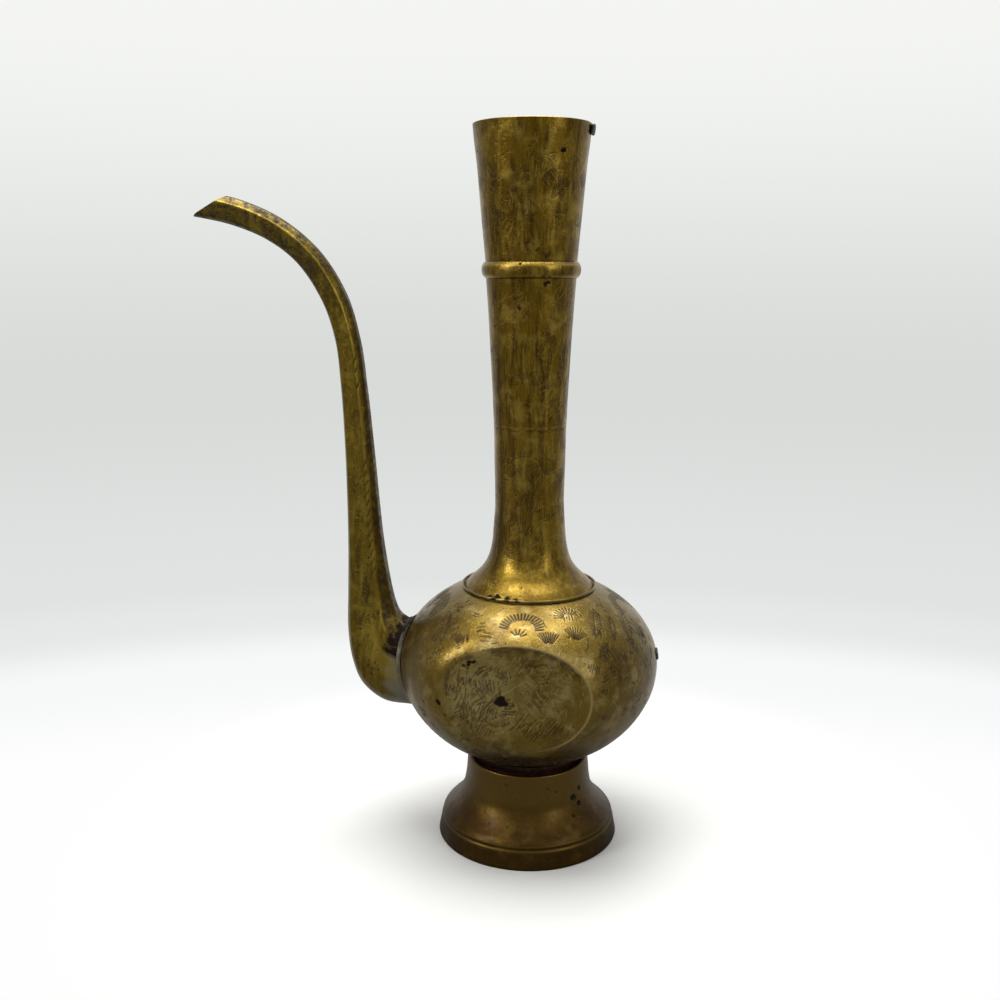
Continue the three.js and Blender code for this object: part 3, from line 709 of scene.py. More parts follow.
# Spout: slices between an outer rail, away from the bowl, and an inner rail towards the neck.
# Places are out from the bowl's widest radius and up from its waist, depth is across them.
spoutShape = {
    "wall": 1.3, "clearance": 0.3, "around": 60, "slices": 780, "beak": (79.2, 213.4, 30),
    "stations": [((-18.8, -27.5), (-20.8, 14), 30), ((-5.8, -25.7), (-10.8, 15), 31), ((8.8, -23.7), (-2.8, 16.5), 31),
                 ((19.6, -15), (0.1, 18), 29), ((24.2, -3.5), (2.1, 20), 25.5), ((26.2, 11), (4.2, 25.5), 21),
                 ((26, 30), (6.5, 37), 17.5), ((25.4, 58), (9.5, 59), 15), ((25.7, 93), (12.3, 93.5), 13),
                 ((27.1, 128), (15.4, 128), 11.8), ((29.2, 149), (18.2, 150), 11.2), ((35.1, 167.2), (24.2, 170.5), 11),
                 ((46.2, 184), (36.2, 189.5), 11), ((60, 194.3), (53.9, 204), 11.3), ((76.8, 201), (73.2, 212.4), 12),
                 ((97.2, 205.3), (94.7, 217), 12.5)],
    "corners": ((1, 0.5), (0.72, 1), (-0.45, 1), (-1, 0.42)), "cornerSharpness": 22,
}


# A slice's outline at an angle: the edges of the faceted section, softened at its corners by
# a high power mean, and blended to an ellipse where the spout swells at its root
def sectionRadius(angle, roundness):
    corners = [*spoutShape["corners"], *((a, -b) for a, b in reversed(spoutShape["corners"]))]
    total = np.zeros(np.broadcast(angle, roundness).shape)
    for (a0, b0), (a1, b1) in zip(corners, corners[1:] + corners[:1]):
        length = math.hypot(a1 - a0, b1 - b0)
        normal = ((b1 - b0) / length, (a0 - a1) / length)
        distance = normal[0] * a0 + normal[1] * b0
        if distance < 0:
            normal, distance = (-normal[0], -normal[1]), -distance
        facing = np.clip((normal[0] * np.cos(angle) + normal[1] * np.sin(angle)) / distance, 0, None)
        total = total + facing ** spoutShape["cornerSharpness"]
    flatSided = total ** (-1 / spoutShape["cornerSharpness"])
    return flatSided * (1 - roundness) + roundness


# Points of the spout's surface, grown by an amount, at a share of its length and an angle
# around its slice. Angle 0 is the outer edge and the positive side faces +Y.
def spoutPoint(share, angle, grow):
    stations = spoutShape["stations"]
    outer = splineAt([s[0] for s in stations], share)
    inner = splineAt([s[1] for s in stations], share)
    depth = np.interp(share, np.linspace(0, 1, len(stations)), [s[2] for s in stations])
    centre, reach = (outer + inner) / 2, (outer - inner) / 2
    size = np.linalg.norm(reach, axis=-1, keepdims=True)
    reach = reach * (size + grow) / size
    radius = sectionRadius(angle, np.clip(1 - 3 * share, 0, 1))
    side = radius * np.cos(angle)
    out = centre[..., 0] + reach[..., 0] * side + bowlShape["radius"]
    up = centre[..., 1] + reach[..., 1] * side
    return np.stack([-out, radius * np.sin(angle) * (depth / 2 + grow), up + waistZ], -1)


# How far a point is outside the bowl, as a share of its size, where lift grows the bowl
def outsideBowl(point, lift):
    up = point[..., 2] - waistZ
    rise = np.where(up > 0, bowlRise, bowlDepth) + lift
    flatRadius = np.hypot(point[..., 0], point[..., 1]) / (bowlShape["radius"] + lift)
    return np.hypot(flatRadius, up / rise) - 1


def beyondBeak(point):
    out, up, degrees = spoutShape["beak"]
    slant = math.radians(degrees)
    across = -point[..., 0] - (out + bowlShape["radius"])
    return across * math.sin(slant) + (point[..., 2] - waistZ - up) * math.cos(slant)


# The share of the spout's length where a test turns positive, by halving
def crossing(test, angle, grow, low, high):
    low, high = np.full(angle.shape, low), np.full(angle.shape, high)
    for _ in range(40):
        middle = (low + high) / 2
        after = test(spoutPoint(middle, angle, grow)) > 0
        low, high = np.where(after, low, middle), np.where(after, middle, high)
    return (low + high) / 2


def spoutSurface(angle, grow, lift, slices):
    start = crossing(lambda p: outsideBowl(p, lift), angle, grow, 0.0, 0.3)
    end = crossing(beyondBeak, angle, grow, 0.85, 1.0)
    step = np.linspace(0, 1, slices)[:, None]
    share = start + (end - start) * step
    return spoutPoint(share, np.broadcast_to(angle, share.shape), grow), share


ridgeDashes = [((along, 1.2), 36 + 10 * math.sin(along), [stroke((-1.7 - 0.5 * math.sin(along * 2.1), 0), (1.8, 0), 0.42)])
               for along in [*np.arange(52, 105, 4.8), 142, 149, 154]]
sideMotifs = [((24, -2), 0, foliage(61, 16, 12, 8, 3, 30, 0.24)), ((58, -2), 0, foliage(62, 9, 14, 4, 2.6, 20, 0.22)),
              ((120, -2), 0, foliage(63, 9, 40, 3, 2.4, 8, 0.2, 0.04)), ((240, 0), 0, foliage(65, 14, 45, 3, 2.4, 20, 0.2)),
              ((46, 0.5), -90, leafStrokes(15, 6, 6)), ((30, 4), 0, hatchStrokes(7, 4.6, 1.1, 8)), ((22, -2), 60, hatchStrokes(5, 7, 1.6, 4)),
              ((33, -4), 30, hatchStrokes(5, 5, 1.3, 10)), ((14, -6), 10, hatchStrokes(4, 6, 1.8, 20)), ((250, 1), 0, hatchStrokes(5, 3, 1.2, 60)),
              ((275, 0), 20, hatchStrokes(5, 3.4, 1.3, 50))]


lengthwise = [((30 + 24 * k, 0), 0, foliage(90 + k, 24, 12, 5, 6, 0, 0.24)) for k in range(11)]


# One channel of the spout: outer and bore surfaces over half a turn, joined along the
# middle plane, at the bowl and at the beak
def makeSpoutHalf(name, node, side):
    around, slices = spoutShape["around"], spoutShape["slices"]
    angle = side * np.linspace(0, math.pi, around)
    outer, share = spoutSurface(angle, 0, spoutShape["clearance"], slices)
    bore, _ = spoutSurface(angle, -spoutShape["wall"], spoutShape["clearance"], slices)
    middle = around // 2
    along = np.concatenate([[0], np.cumsum(np.linalg.norm(np.diff(outer[:, middle], axis=0), axis=1))])[:, None]
    steps = np.linalg.norm(np.diff(outer, axis=1), axis=2)
    across = np.concatenate([np.zeros((slices, 1)), np.cumsum(steps, axis=1)], 1)
    across = across - across[:, middle:middle + 1]
    ridge = across[:, int(around * 0.66)][:, None]

    def toSide(place):
        return np.broadcast_arrays(along - place[0], across - place[1])

    def toRidge(place):
        return np.broadcast_arrays(along - place[0], across - ridge - place[1] + 1.2)

    grooves = carve(np.zeros((slices, around)), toRidge, ridgeDashes)
    grooves = carve(grooves, toSide, sideMotifs)
    stains = [((60, 3), 0.6, 0.8), ((95, -3), 0.5, 0.7), ((180, 3), 0.6, 0.7), ((292, 2), 2.0, 0.7), ((303, 3), 1.6, 0.8),
              ((268, 3), 1.0, 0.5), ((9, 6), 1.2, 0.7), ((31, -1), 0.8, 0.6)]
    dark = spots(np.zeros_like(grooves), toSide, stains)
    residue = smoothStep(19, 8, along + 3 * np.sin(across * 0.9) + 2 * np.sin(across * 2.3)) * smoothStep(3, 7, across)
    dark = np.maximum(dark, 0.95 * residue)
    # Painted shade: the faces past the ridge, towards the neck, are darkened
    inner = smoothStep(1, 2.6, across - ridge)
    dark = np.maximum(dark, inner * 0.62)
    # Painted shade over the upper spout and beak, with a lighter line left along the ridge as a painted highlight
    line = np.exp(-((across - ridge) / 0.5) ** 2) * smoothStep(140, 190, along)
    dark = np.maximum(dark, 0.62 * smoothStep(140, 205, along) * smoothStep(345, 310, along)) * (1 - 0.6 * line)
    edge = np.minimum(np.arange(around), around - 1 - np.arange(around))[None]
    ends = np.minimum(along, along[-1] - along)
    keep = smoothStep(0, 4, edge) * smoothStep(0, 1.5, ends)
    uneven = 0.05 * waviness(np.linspace(0, math.pi, around)[None] * 2, along, 12)
    centre = outer.mean(axis=1, keepdims=True)
    outwards = (outer - centre) / np.linalg.norm(outer - centre, axis=2, keepdims=True)
    outer = outer + outwards * ((uneven - 0.1 * grooves - 0.08 * dark) * keep)[..., None]
    loop = np.concatenate([outer, bore[:, ::-1]], 1)
    wide = loop.shape[1]
    quads = gridFaces(wide, slices, False)
    points = loop.transpose(1, 0, 2).reshape(-1, 3)
    m = np.arange(around - 1)
    far = wide - 1 - m
    rootCap = np.stack([m * slices, far * slices, (far - 1) * slices, (m + 1) * slices], 1)
    beakCap = rootCap[:, ::-1] + slices - 1
    faces = np.vstack([quads, rootCap, beakCap])
    # Rubbed bright along the ridge, with a painted highlight there that grows towards the beak
    wearAndHighlightMask = np.exp(-((np.arange(around)[None] - around * 0.66) / 1.6) ** 2) * (0.25 + 0.3 * smoothStep(140, 190, along)) * smoothStep(20, 60, along)
    wearAndHighlightMask = np.maximum(wearAndHighlightMask, 0.6 * smoothStep(1.2, 0, along[-1] - along) * np.ones_like(wearAndHighlightMask))
    wearAndHighlightMask = np.maximum(wearAndHighlightMask, 0.45 * smoothStep(44, 20, along) * smoothStep(9, 3, np.abs(across)))
    wearAndHighlightMask = np.maximum(wearAndHighlightMask, 0.5 * carve(np.zeros_like(dark), toSide, lengthwise, 0.85))
    rest = np.zeros((slices, around))
    solder = 0.9 * smoothStep(9.5, 4.5, along + 1.2 * np.sin(across * 0.8)) * np.ones_like(rest)
    marks = {"engraved": grooves, "stainandshade": dark, "wearandhighlight": wearAndHighlightMask, "soldered": solder}
    fills = {"engraved": rest, "stainandshade": rest + 0.4, "wearandhighlight": rest, "soldered": rest}
    marks = {key: np.concatenate([value, fills[key]], 1).T for key, value in marks.items()}
    points = points + np.array([axisX / millimetre, 0, 0])
    points[:, 0] = np.maximum(points[:, 0], cadBox[0][0] / millimetre)
    piece = addPiece(name, points, [faces if side > 0 else faces[:, ::-1]], spoutBrass, marks)
    standFor(piece, node)


# The bore's end inside the bowl, taken out of each half of the bowl
def cutSpoutHole(piece):
    angle = np.arange(40) / 40 * 2 * math.pi
    share = np.linspace(0, 0.2, 16)[:, None]
    bore = spoutPoint(share, np.broadcast_to(angle, (16, 40)), -spoutShape["wall"]) + np.array([axisX / millimetre, 0, 0])
    points = bore.transpose(1, 0, 2).reshape(-1, 3)
    ends = np.array([bore[0].mean(axis=0), bore[-1].mean(axis=0)])
    faces = [gridFaces(40, 16, False), capFaces(40, 16, 0, len(points), True), capFaces(40, 16, 15, len(points) + 1, False)]
    cutter = addPiece("boreCutter", np.vstack([points, ends]), faces, darkBraze)
    cut = piece.modifiers.new("spoutHole", "BOOLEAN")
    cut.operation = "DIFFERENCE"
    cut.solver = "MANIFOLD"
    cut.object = cutter
    bpy.context.view_layer.update()
    evaluated = piece.evaluated_get(bpy.context.evaluated_depsgraph_get())
    mesh = bpy.data.meshes.new_from_object(evaluated)
    piece.modifiers.clear()
    piece.data = mesh
    bpy.data.objects.remove(cutter)
    print(piece.name, "with its spout hole:", len(mesh.polygons), "faces")


makeBowlHalf("lowerBowl", "lower_bowl", False)
makeBowlHalf("upperBowl", "upper_bowl", True)
makeSpoutHalf("spoutLeftHalf", "spout_left_half", -1)
makeSpoutHalf("spoutRightHalf", "spout_right_half", 1)
print("bowl and spout made")


# Solder saddle around the spout's root: a hollow fillet from the bowl up the spout's wall
def makeFlange():
    around, steps = 240, 14
    angle = np.arange(around) / around * 2 * math.pi
    gap = spoutShape["clearance"]

    def ring(grow, lift):
        share = crossing(lambda p: outsideBowl(p, lift), angle, grow, 0.0, 0.3)
        return spoutPoint(share, angle, grow)

    corner, foot, top = ring(gap, gap), ring(gap + 2.1, gap), ring(gap, gap + 1.75)
    s = np.linspace(0, 1, steps)[None, :, None]
    lumpy = 0.12 * waviness(angle[:, None], np.linspace(0, 30, steps)[None], 77)[..., None]
    straight = foot[:, None] * (1 - s) + top[:, None] * s
    fillet = straight + (corner[:, None] - straight) * (0.16 * np.sin(np.pi * s) + lumpy * np.sin(np.pi * s))
    loop = np.concatenate([fillet, corner[:, None]], 1)
    points = loop.reshape(-1, 3) + np.array([axisX / millimetre, 0, 0])
    dark = smoothStep(0.15, 0.95, -np.cos(angle))[:, None] * np.ones((1, steps + 1)) * 0.85
    marks = {"engraved": np.zeros_like(dark), "stainandshade": dark, "wearandhighlight": np.zeros_like(dark)}
    piece = addPiece("spoutFlange", points, [gridFaces(around, steps + 1, True)], greySolder, marks)
    standFor(piece, "spout_flange")


makeFlange()


# Wire ring around the foot of the neck
def makeWire():
    low, high = lowZ("shoulder_wire"), highZ("shoulder_wire")
    half = (high - low) / 2
    centreR, centreZ = 31.1, (low + high) / 2
    tilt = np.linspace(-math.pi / 2, math.pi / 2, 12)
    outer = np.stack([centreR + 0.45 * np.cos(tilt), centreZ + half * np.sin(tilt)], 1)
    inner = np.stack([centreR - 0.62 * np.cos(tilt), centreZ + half * np.sin(tilt)], 1)[1:-1]
    stains = [((-24, centreZ), 1.6, 0.9), ((-12, centreZ), 1.4, 0.8), ((-3, centreZ), 1.2, 0.8), ((140, centreZ), 2, 0.7)]
    # The wire's top is rubbed bright and also carries a painted highlight line
    piece = turnedPiece("shoulderWire", outer, inner, 360, bowlBrass, stains=stains, wave=0.0,
                        wearandhighlight=lambda line, run: 0.3 * np.exp(-((line[:, 1] - centreZ - 0.3) / 0.5) ** 2))
    standFor(piece, "shoulder_wire")


makeWire()

# Neck, bead and mouth
neckShape = {"wall": 1.5, "columns": 320, "step": 0.36}
feather = fanStrokes(7, 0.8, 6.5, 50, 130, 0.28) + arcStrokes(4.6, 7.5, 20, 160, 0.24)
tallLeaf = leafStrokes(20, 5.5, 7)
plume = [stroke((0, -10), (0.5, 11), 0.3, 0.05), stroke((-2.5, -8), (-1.2, 9), 0.3, -0.08), stroke((3, -9), (1.6, 8), 0.28, 0.09)]


def lowerNeckMotifs():
    motifs = [((-24, 176), 10, feather), ((8, 171), -8, tallLeaf), ((30, 178), -20, feather), ((-12, 158), 0, hatchStrokes(7, 5.5, 1.2, 86)),
              ((14, 152), 12, hatchStrokes(6, 5, 1.3, 40)), ((36, 160), 0, hatchStrokes(5, 7, 1.4, 84)), ((-34, 152), 0, hatchStrokes(4, 9, 1.4, 88)),
              ((-10, 188), 0, hatchStrokes(4, 4.5, 1.5, 80)), ((26, 190), 0, hatchStrokes(4, 6, 1.3, 84)), ((-40, 190), 0, hatchStrokes(3, 7, 1.4, 88)),
              ((0, 181), 0, arcStrokes(8, 6, 20, 160)), ((4, 146), 0, hatchStrokes(5, 4, 1.2, 58)), ((22, 144), 0, smallHatch)]
    for k, angle in enumerate(range(66, 300, 26)):
        motifs.append(((angle, 173 + 3 * (k % 2)), 8 * (k % 3) - 8, tallLeaf if k % 2 else feather))
        motifs.append(((angle + 12, 156), 10 * (k % 2), hatchStrokes(6, 5, 1.3, 80 - 20 * (k % 2))))
        motifs.append(((angle + 4, 190), 0, hatchStrokes(4, 6, 1.5, 86)))
    motifs += strewn(51, 46, (0, 360), (140, 192), 7, 3.0, 82)
    return motifs


def upperNeckMotifs():
    motifs = [((-16, 232), 0, plume), ((-4, 229), 0, plume), ((18, 229), 6, plume), ((34, 226), 0, plume), ((-32, 226), 0, plume),
              ((10, 218), -30, feather), ((30, 216), -10, feather), ((-26, 206), 0, hatchStrokes(3, 11, 1.8, 90, 0.34)),
              ((12, 205), 0, hatchStrokes(3, 8, 2.0, 90)), ((32, 204), 0, hatchStrokes(2, 7, 2.2, 90)), ((28, 240), 0, hatchStrokes(4, 5, 1.4, 50))]
    for k in range(16):
        scallopRow = arcStrokes(3.3, 1.3 + 0.5 * (k % 2), 190, 350, 0.3) + arcStrokes(3.1, 0.9, 20, 160, 0.22)
        motifs.append(((k * 22.5 + 4, 199.6), 3 * (k % 3) - 3, scallopRow))
    for k, angle in enumerate(range(62, 312, 24)):
        motifs.append(((angle, 228), 0, plume if k % 2 else tallLeaf))
        motifs.append(((angle + 10, 207), 0, hatchStrokes(3, 9, 1.8, 90)))
    motifs += strewn(52, 46, (0, 360), (202, 250), 7, 3.0, 82)
    return motifs


def mouthMotifs():
    motifs = [((26, 306), -55, hatchStrokes(6, 6.5, 1.3, 10)), ((36, 302), -35, leafStrokes(12, 7, 7)), ((40, 293), -50, hatchStrokes(7, 6, 1.2, 20)),
              ((-38, 301), 8, tallLeaf), ((-30, 291), 20, hatchStrokes(3, 8, 1.6, 70)), ((24, 283), 0, hatchStrokes(3, 9, 1.5, 88)),
              ((44, 310), -20, hatchStrokes(4, 4, 1.2, 12)), ((2, 295), 0, hatchStrokes(2, 8, 2.6, 86, 0.24))]
    for k, angle in enumerate(range(74, 300, 28)):
        motifs.append(((angle, 302), 12 * (k % 3) - 12, leafStrokes(15, 6.5, 7) if k % 2 else feather))
        motifs.append(((angle + 13, 288), 0, hatchStrokes(5, 6, 1.4, 70)))
    motifs += strewn(53, 46, (0, 360), (278, 318), 7, 3.0, 82)
    return motifs


def makeNeck():
    wall, columns, step = neckShape["wall"], neckShape["columns"], neckShape["step"]
    base, seam, beadLow = lowZ("lower_neck"), lowZ("upper_neck"), lowZ("neck_bead")
    mouthLow, rim = lowZ("mouth_funnel"), highZ("mouth_funnel")

    lower = evenLine([(30.1, base), (27.6, 126.4), (23.0, 130.8), (20.4, 134.3), (18.9, 137.5), (17.45, 143.5), (16.45, 154),
                      (15.9, 163.6), (16.0, 173), (16.24, 182.5), (16.5, seam)], step)
    lowerIn = np.vstack([[(28.6, base + 0.55)], lower[8::12] - (wall, 0), lower[-1:] - (wall, 0)])
    stains = [((-30, base + 0.5), 1.7, 0.9), ((-22, base + 0.7), 1.9, 1.0), ((-13, base + 0.6), 1.7, 0.9), ((-5, base + 0.5), 1.2, 0.8),
              ((4, base + 0.3), 0.7, 0.7), ((-34, 166), 1.0, 0.5), ((-18, 153), 1.1, 0.5), ((12, 140), 1.8, 0.35), ((-20, 194), 0.5, 0.7),
              ((150, 160), 1.4, 0.6), ((210, 140), 2, 0.5), ((-1, 128.5), 0.5, 0.8), ((30, 165), 0.7, 0.6)]
    # The lower neck is lightly rubbed all over, and its skirt is painted a little lighter as a highlight
    piece = turnedPiece("lowerNeck", lower, lowerIn, columns, agedBrass, lowerNeckMotifs(), stains, seed=5,
                        scratches=strewn(81, 50, (0, 360), (128, 194), 5, 5, 70),
                        wearandhighlight=lambda line, run: 0.1 + 0.1 * smoothStep(140, 127, line[:, 1]))
    standFor(piece, "lower_neck")

    upper = evenLine([(16.5, seam), (17.0, 210), (17.9, 228), (18.87, 246), (19.85, 261), (20.15, beadLow)], step)
    upperIn = upper[[0, *range(20, len(upper) - 1, 20), -1]] - (wall, 0)
    stains = [((-12, 256), 1.3, 0.6), ((-9, 252), 1.0, 0.7), ((24, 262), 1.2, 0.7), ((28, 263), 1.0, 0.8), ((16, 234), 0.9, 0.6), ((-30, 234), 0.7, 0.5),
              ((-50, 244), 0.6, 0.8), ((120, 250), 1.6, 0.6), ((230, 220), 1.2, 0.6), ((-8, 263.4), 0.8, 0.6), ((40, 240), 0.5, 0.6)]
    piece = turnedPiece("upperNeck", upper, upperIn, columns, agedBrass, upperNeckMotifs(), stains, seed=6,
                        scratches=strewn(82, 50, (0, 360), (200, 262), 5, 5, 80),
                        wearandhighlight=lambda line, run: 0.25 * np.exp(-((line[:, 1] - 199.5) / 1.2) ** 2))
    standFor(piece, "upper_neck")

    bead = evenLine([(20.25, beadLow + 0.1), (20.9, beadLow + 0.55), (21.75, beadLow + 1.7), (22.08, beadLow + 3.0), (22.1, beadLow + 4.3),
                     (21.85, beadLow + 5.6), (21.1, beadLow + 6.8), (20.45, mouthLow - 0.15)], 0.3)
    beadIn = np.array([(18.7, beadLow + 0.05), (18.7, mouthLow - 0.05)])
    # The bead is painted lighter along its upper and lower rounded edges
    piece = turnedPiece("neckBead", bead, beadIn, 300, agedBrass, [((-6, beadLow + 6.3), 90, [stroke((-0.9, 0), (0.9, 0.1), 0.4)])],
                        [((-6, beadLow + 6.2), 0.6, 0.8), ((20, beadLow + 0.8), 0.9, 0.7), ((28, beadLow + 0.7), 0.9, 0.6)], wave=0.05, cut=0.3, seed=8,
                        wearandhighlight=lambda line, run: 0.8 * np.exp(-((line[:, 1] - beadLow - 5.9) / 0.7) ** 2) + 0.35 * np.exp(-((line[:, 1] - beadLow - 0.9) / 0.6) ** 2))
    standFor(piece, "neck_bead")

    mouth = evenLine([(20.4, mouthLow), (21.5, 284), (22.9, 299.5), (24.2, 314), (25.4, 324), (25.9, rim - 0.5)], step)
    mouth = np.vstack([mouth, [(25.92, rim - 0.2), (25.7, rim - 0.02)]])
    mouthIn = mouth[[0, *range(16, len(mouth) - 3, 16)]] - (1.25, 0)
    mouthIn = np.vstack([mouthIn, [(24.75, rim - 0.25), (25.0, rim - 0.02)]])
    stains = [((39, 317), 1.35, 1.0), ((-24, 315), 0.6, 0.8), ((-22, 314), 0.5, 0.6), ((-30, 306), 0.5, 0.7), ((-36, 300), 0.8, 0.4), ((8, 320), 1.1, 0.35),
              ((2, 279.5), 0.8, 0.7), ((16, 276), 1.6, 0.5), ((-14, 273.6), 1.0, 0.6), ((26, 274), 1.4, 0.6), ((-66, 318), 0.7, 0.9), ((30, 286), 1.6, 0.35),
              ((170, 305), 1.8, 0.6), ((240, 290), 1.2, 0.6), ((120, 316), 0.9, 0.8)]
    piece = turnedPiece("mouthFunnel", mouth, mouthIn, 400, agedBrass, mouthMotifs(), stains, seed=7,
                        scratches=strewn(83, 50, (0, 360), (275, 326), 5, 5, 60),
                        wearandhighlight=lambda line, run: 0.25 * smoothStep(rim - 0.6, rim - 0.1, line[:, 1]))
    standFor(piece, "mouth_funnel")


makeNeck()


# Scars of the lost handle: rough lumps of braze. Each is a ball squared off by a power and bent
# along the wall that it sticks to. Thickness, lean over half its height and the set-back of its
# sides are in mm.
scarShape = {"around": 48, "along": 25, "power": 0.5, "lumps": 0.1, "seat": 0.25}
scars = {
    "rimHandleScar": {"node": "rim_handle_stub", "seed": 3, "thickness": 1.4, "lean": 0.255, "setBack": 0.45},
    "bowlHandleScar": {"node": "bowl_handle_stub", "seed": 5, "thickness": 0.8, "lean": -0.36, "setBack": 0.27},
}


def makeScar(name, node, seed, thickness, lean, setBack):
    low, high = (np.array(c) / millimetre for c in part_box(node))
    around, along, power = (scarShape[key] for key in ("around", "along", "power"))
    turn = np.arange(around)[:, None] / around * 2 * math.pi
    rise = np.linspace(-math.pi / 2, math.pi / 2, along)[None]

    def squared(value):
        return np.sign(value) * np.abs(value) ** power

    y = squared(np.cos(rise)) * squared(np.sin(turn))
    x = squared(np.cos(rise)) * squared(np.cos(turn))
    z = squared(np.sin(rise)) * np.ones_like(turn)
    lumps = 1 - scarShape["lumps"] * np.abs(waviness(turn, 30 * rise, seed))
    half, centre = (high - low) / 2, (high + low) / 2
    thick = (thickness + scarShape["seat"]) / 2
    middle = high[0] - abs(lean) - thick
    out = middle + lean * z - setBack * y ** 2 + x * thick * lumps
    points = np.stack([out, centre[1] + y * half[1] * lumps, centre[2] + z * half[2] * lumps], 2)
    body = points[:, 1:-1].reshape(-1, 3)
    ends = np.array([points[0, 0], points[0, -1]])
    wide = along - 2
    faces = [gridFaces(around, wide, False), capFaces(around, wide, 0, len(body), True),
             capFaces(around, wide, wide - 1, len(body) + 1, False)]
    pits = 0.65 + 0.4 * waviness(turn * 3, 20 * rise[:, 1:-1], seed)
    pits = np.append(np.broadcast_to(pits, (around, wide)).ravel(), [0.7, 0.7])
    marks = {"stainandshade": np.clip(pits, 0, 1)}
    piece = addPiece(name, np.vstack([body, ends]), faces, greySolder, marks, sharpAngle=80)
    standFor(piece, node)


for scarName, settings in scars.items():
    makeScar(scarName, **settings)
print("neck and scars made")


# Floor: a pale round sheet that fades out, so that the backdrop's own colour takes over
def makeFloor():
    around, rings = 96, 24
    angle = np.arange(around)[:, None] / around * 2 * math.pi
    radius = (np.linspace(0.02, 1, rings) * 260)[None]
    flat = np.stack([radius * np.cos(angle), radius * np.sin(angle), np.zeros((around, rings))], 2).reshape(-1, 3)
    points = np.vstack([flat + np.array([axisX / millimetre, 0, 0]), [(axisX / millimetre, 0, 0)]])
    material = bpy.data.materials.new("paleSheet")
    material.use_nodes = True
    tree = material.node_tree
    shader = tree.nodes["Principled BSDF"]
    mirrored = put(tree, "ShaderNodeLightPath").outputs["Is Glossy Ray"]
    sheetColour = mixColour(tree, mirrored, (0.66, 0.66, 0.65, 1), (0.2, 0.2, 0.195, 1))
    tree.links.new(sheetColour, shader.inputs["Base Color"])
    shader.inputs["Roughness"].default_value = 0.75
    place = put(tree, "ShaderNodeTexCoord").outputs["Object"]
    flatPlace = put(tree, "ShaderNodeVectorMath", {0: place, 1: (axisX, 0, 0)}, operation="SUBTRACT").outputs[0]
    away = put(tree, "ShaderNodeVectorMath", {0: flatPlace}, operation="LENGTH").outputs["Value"]
    fade = ramp(tree, away, 0.1, 0.23)
    clear = put(tree, "ShaderNodeBsdfTransparent")
    blend = put(tree, "ShaderNodeMixShader", {0: fade, 1: shader.outputs[0], 2: clear.outputs[0]})
    tree.links.new(blend.outputs[0], tree.nodes["Material Output"].inputs[0])
    faces = [gridFaces(around, rings, False)[:, ::-1], capFaces(around, rings, 0, len(points) - 1, False)]
    addPiece("floorSheet", points, faces, material)


makeFloor()


# The room around: white behind and beside the ewer, dim behind the camera, paler overhead.
# The camera itself sees only the pale backdrop.
def makeRoom():
    world = bpy.data.worlds.new("room")
    bpy.context.scene.world = world
    world.use_nodes = True
    tree = world.node_tree
    background = tree.nodes["Background"]
    way = put(tree, "ShaderNodeSeparateXYZ", {0: put(tree, "ShaderNodeTexCoord").outputs["Generated"]}).outputs
    behind = ramp(tree, way["Y"], 0.35, 0.95)
    above = ramp(tree, way["Z"], 0.35, 0.95)
    right = ramp(tree, way["X"], 0.3, 0.9)
    room = mixColour(tree, right, (0.4, 0.4, 0.39, 1), (0.42, 0.42, 0.4, 1))
    room = mixColour(tree, behind, room, (0.78, 0.79, 0.78, 1))
    room = mixColour(tree, above, room, (0.9, 0.9, 0.88, 1))
    backdrop = put(tree, "ShaderNodeValToRGB", {0: steady(tree, way["Z"], -0.4, 0.24)}).outputs[0]
    backdrop.node.color_ramp.interpolation = "EASE"
    stops = backdrop.node.color_ramp.elements
    stops[0].position, stops[0].color = 0.0, (0.985, 0.99, 0.985, 1)
    stops[1].position, stops[1].color = 0.95, (0.905, 0.915, 0.89, 1)
    for position, colour in ((0.1, (0.925, 0.945, 0.935, 1)), (0.158, (0.79, 0.81, 0.795, 1)),
                             (0.21, (0.745, 0.768, 0.752, 1)), (0.47, (0.686, 0.708, 0.69, 1))):
        stops.new(position).color = colour
    seen = put(tree, "ShaderNodeLightPath").outputs["Is Camera Ray"]
    tree.links.new(mixColour(tree, seen, room, backdrop), background.inputs["Color"])
    background.inputs["Strength"].default_value = 1.0


makeRoom()


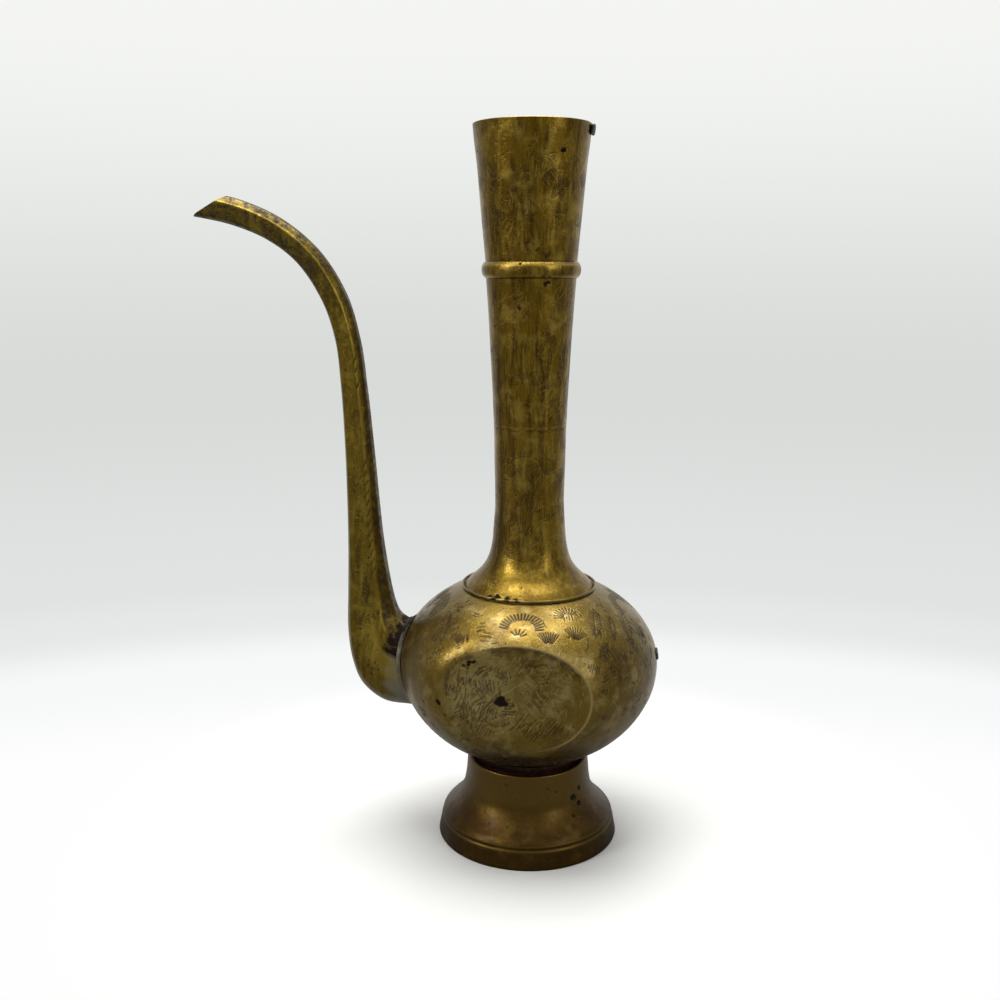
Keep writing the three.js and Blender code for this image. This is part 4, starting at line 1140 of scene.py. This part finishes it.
def softbox(name, place, aim, size, power):
    lamp = bpy.data.lights.new(name, "AREA")
    lamp.shape = "RECTANGLE"
    lamp.size, lamp.size_y = size
    lamp.energy = power
    holder = bpy.data.objects.new(name, lamp)
    way = Vector(aim) - Vector(place)
    holder.matrix_world = Matrix.Translation(place) @ way.to_track_quat("-Z", "Y").to_matrix().to_4x4()
    bpy.context.scene.collection.objects.link(holder)


softbox("overheadLight", (axisX - 0.06, 0.12, 1.25), (axisX, 0, 0.1), (0.9, 0.7), 17.0)
softbox("rightLight", (axisX + 1.1, -0.75, 0.75), (axisX, 0, 0.15), (0.5, 0.8), 2.6)
softbox("leftLight", (axisX - 1.0, -0.7, 0.9), (axisX, 0, 0.15), (0.35, 0.9), 7.0)


# Camera, from the ellipses of the mouth, bead and foot: its distance and height from the
# ewer's axis, the way it looks, and the turn of the ewer about its own axis
cameraShape = {"distance": 0.5018, "height": 0.2677, "down": 11.70, "left": 1.562, "roll": 0.108, "turn": 6.5, "focal": 1106.2}


def makeCamera():
    turn, down, left, roll = (math.radians(cameraShape[key]) for key in ("turn", "down", "left", "roll"))
    spin = Matrix.Rotation(turn, 3, "Z")
    forward = spin @ Vector((-math.sin(left) * math.cos(down), math.cos(left) * math.cos(down), -math.sin(down)))
    level = spin @ Vector((math.cos(left), math.sin(left), 0))
    upright = level.cross(forward)
    right = level * math.cos(roll) + upright * math.sin(roll)
    up = upright * math.cos(roll) - level * math.sin(roll)
    lens = bpy.data.cameras.new("camera")
    lens.sensor_width = 36
    lens.lens = cameraShape["focal"] / 1000 * lens.sensor_width
    camera = bpy.data.objects.new("camera", lens)
    place = spin @ Vector((0, -cameraShape["distance"], cameraShape["height"])) + Vector((axisX, 0, 0))
    axes = Matrix((right, up, -forward)).transposed().to_4x4()
    camera.matrix_world = Matrix.Translation(place) @ axes
    bpy.context.scene.collection.objects.link(camera)
    bpy.context.scene.camera = camera


makeCamera()
bpy.context.scene.view_settings.view_transform = "Standard"
print("stage, lights and camera made")
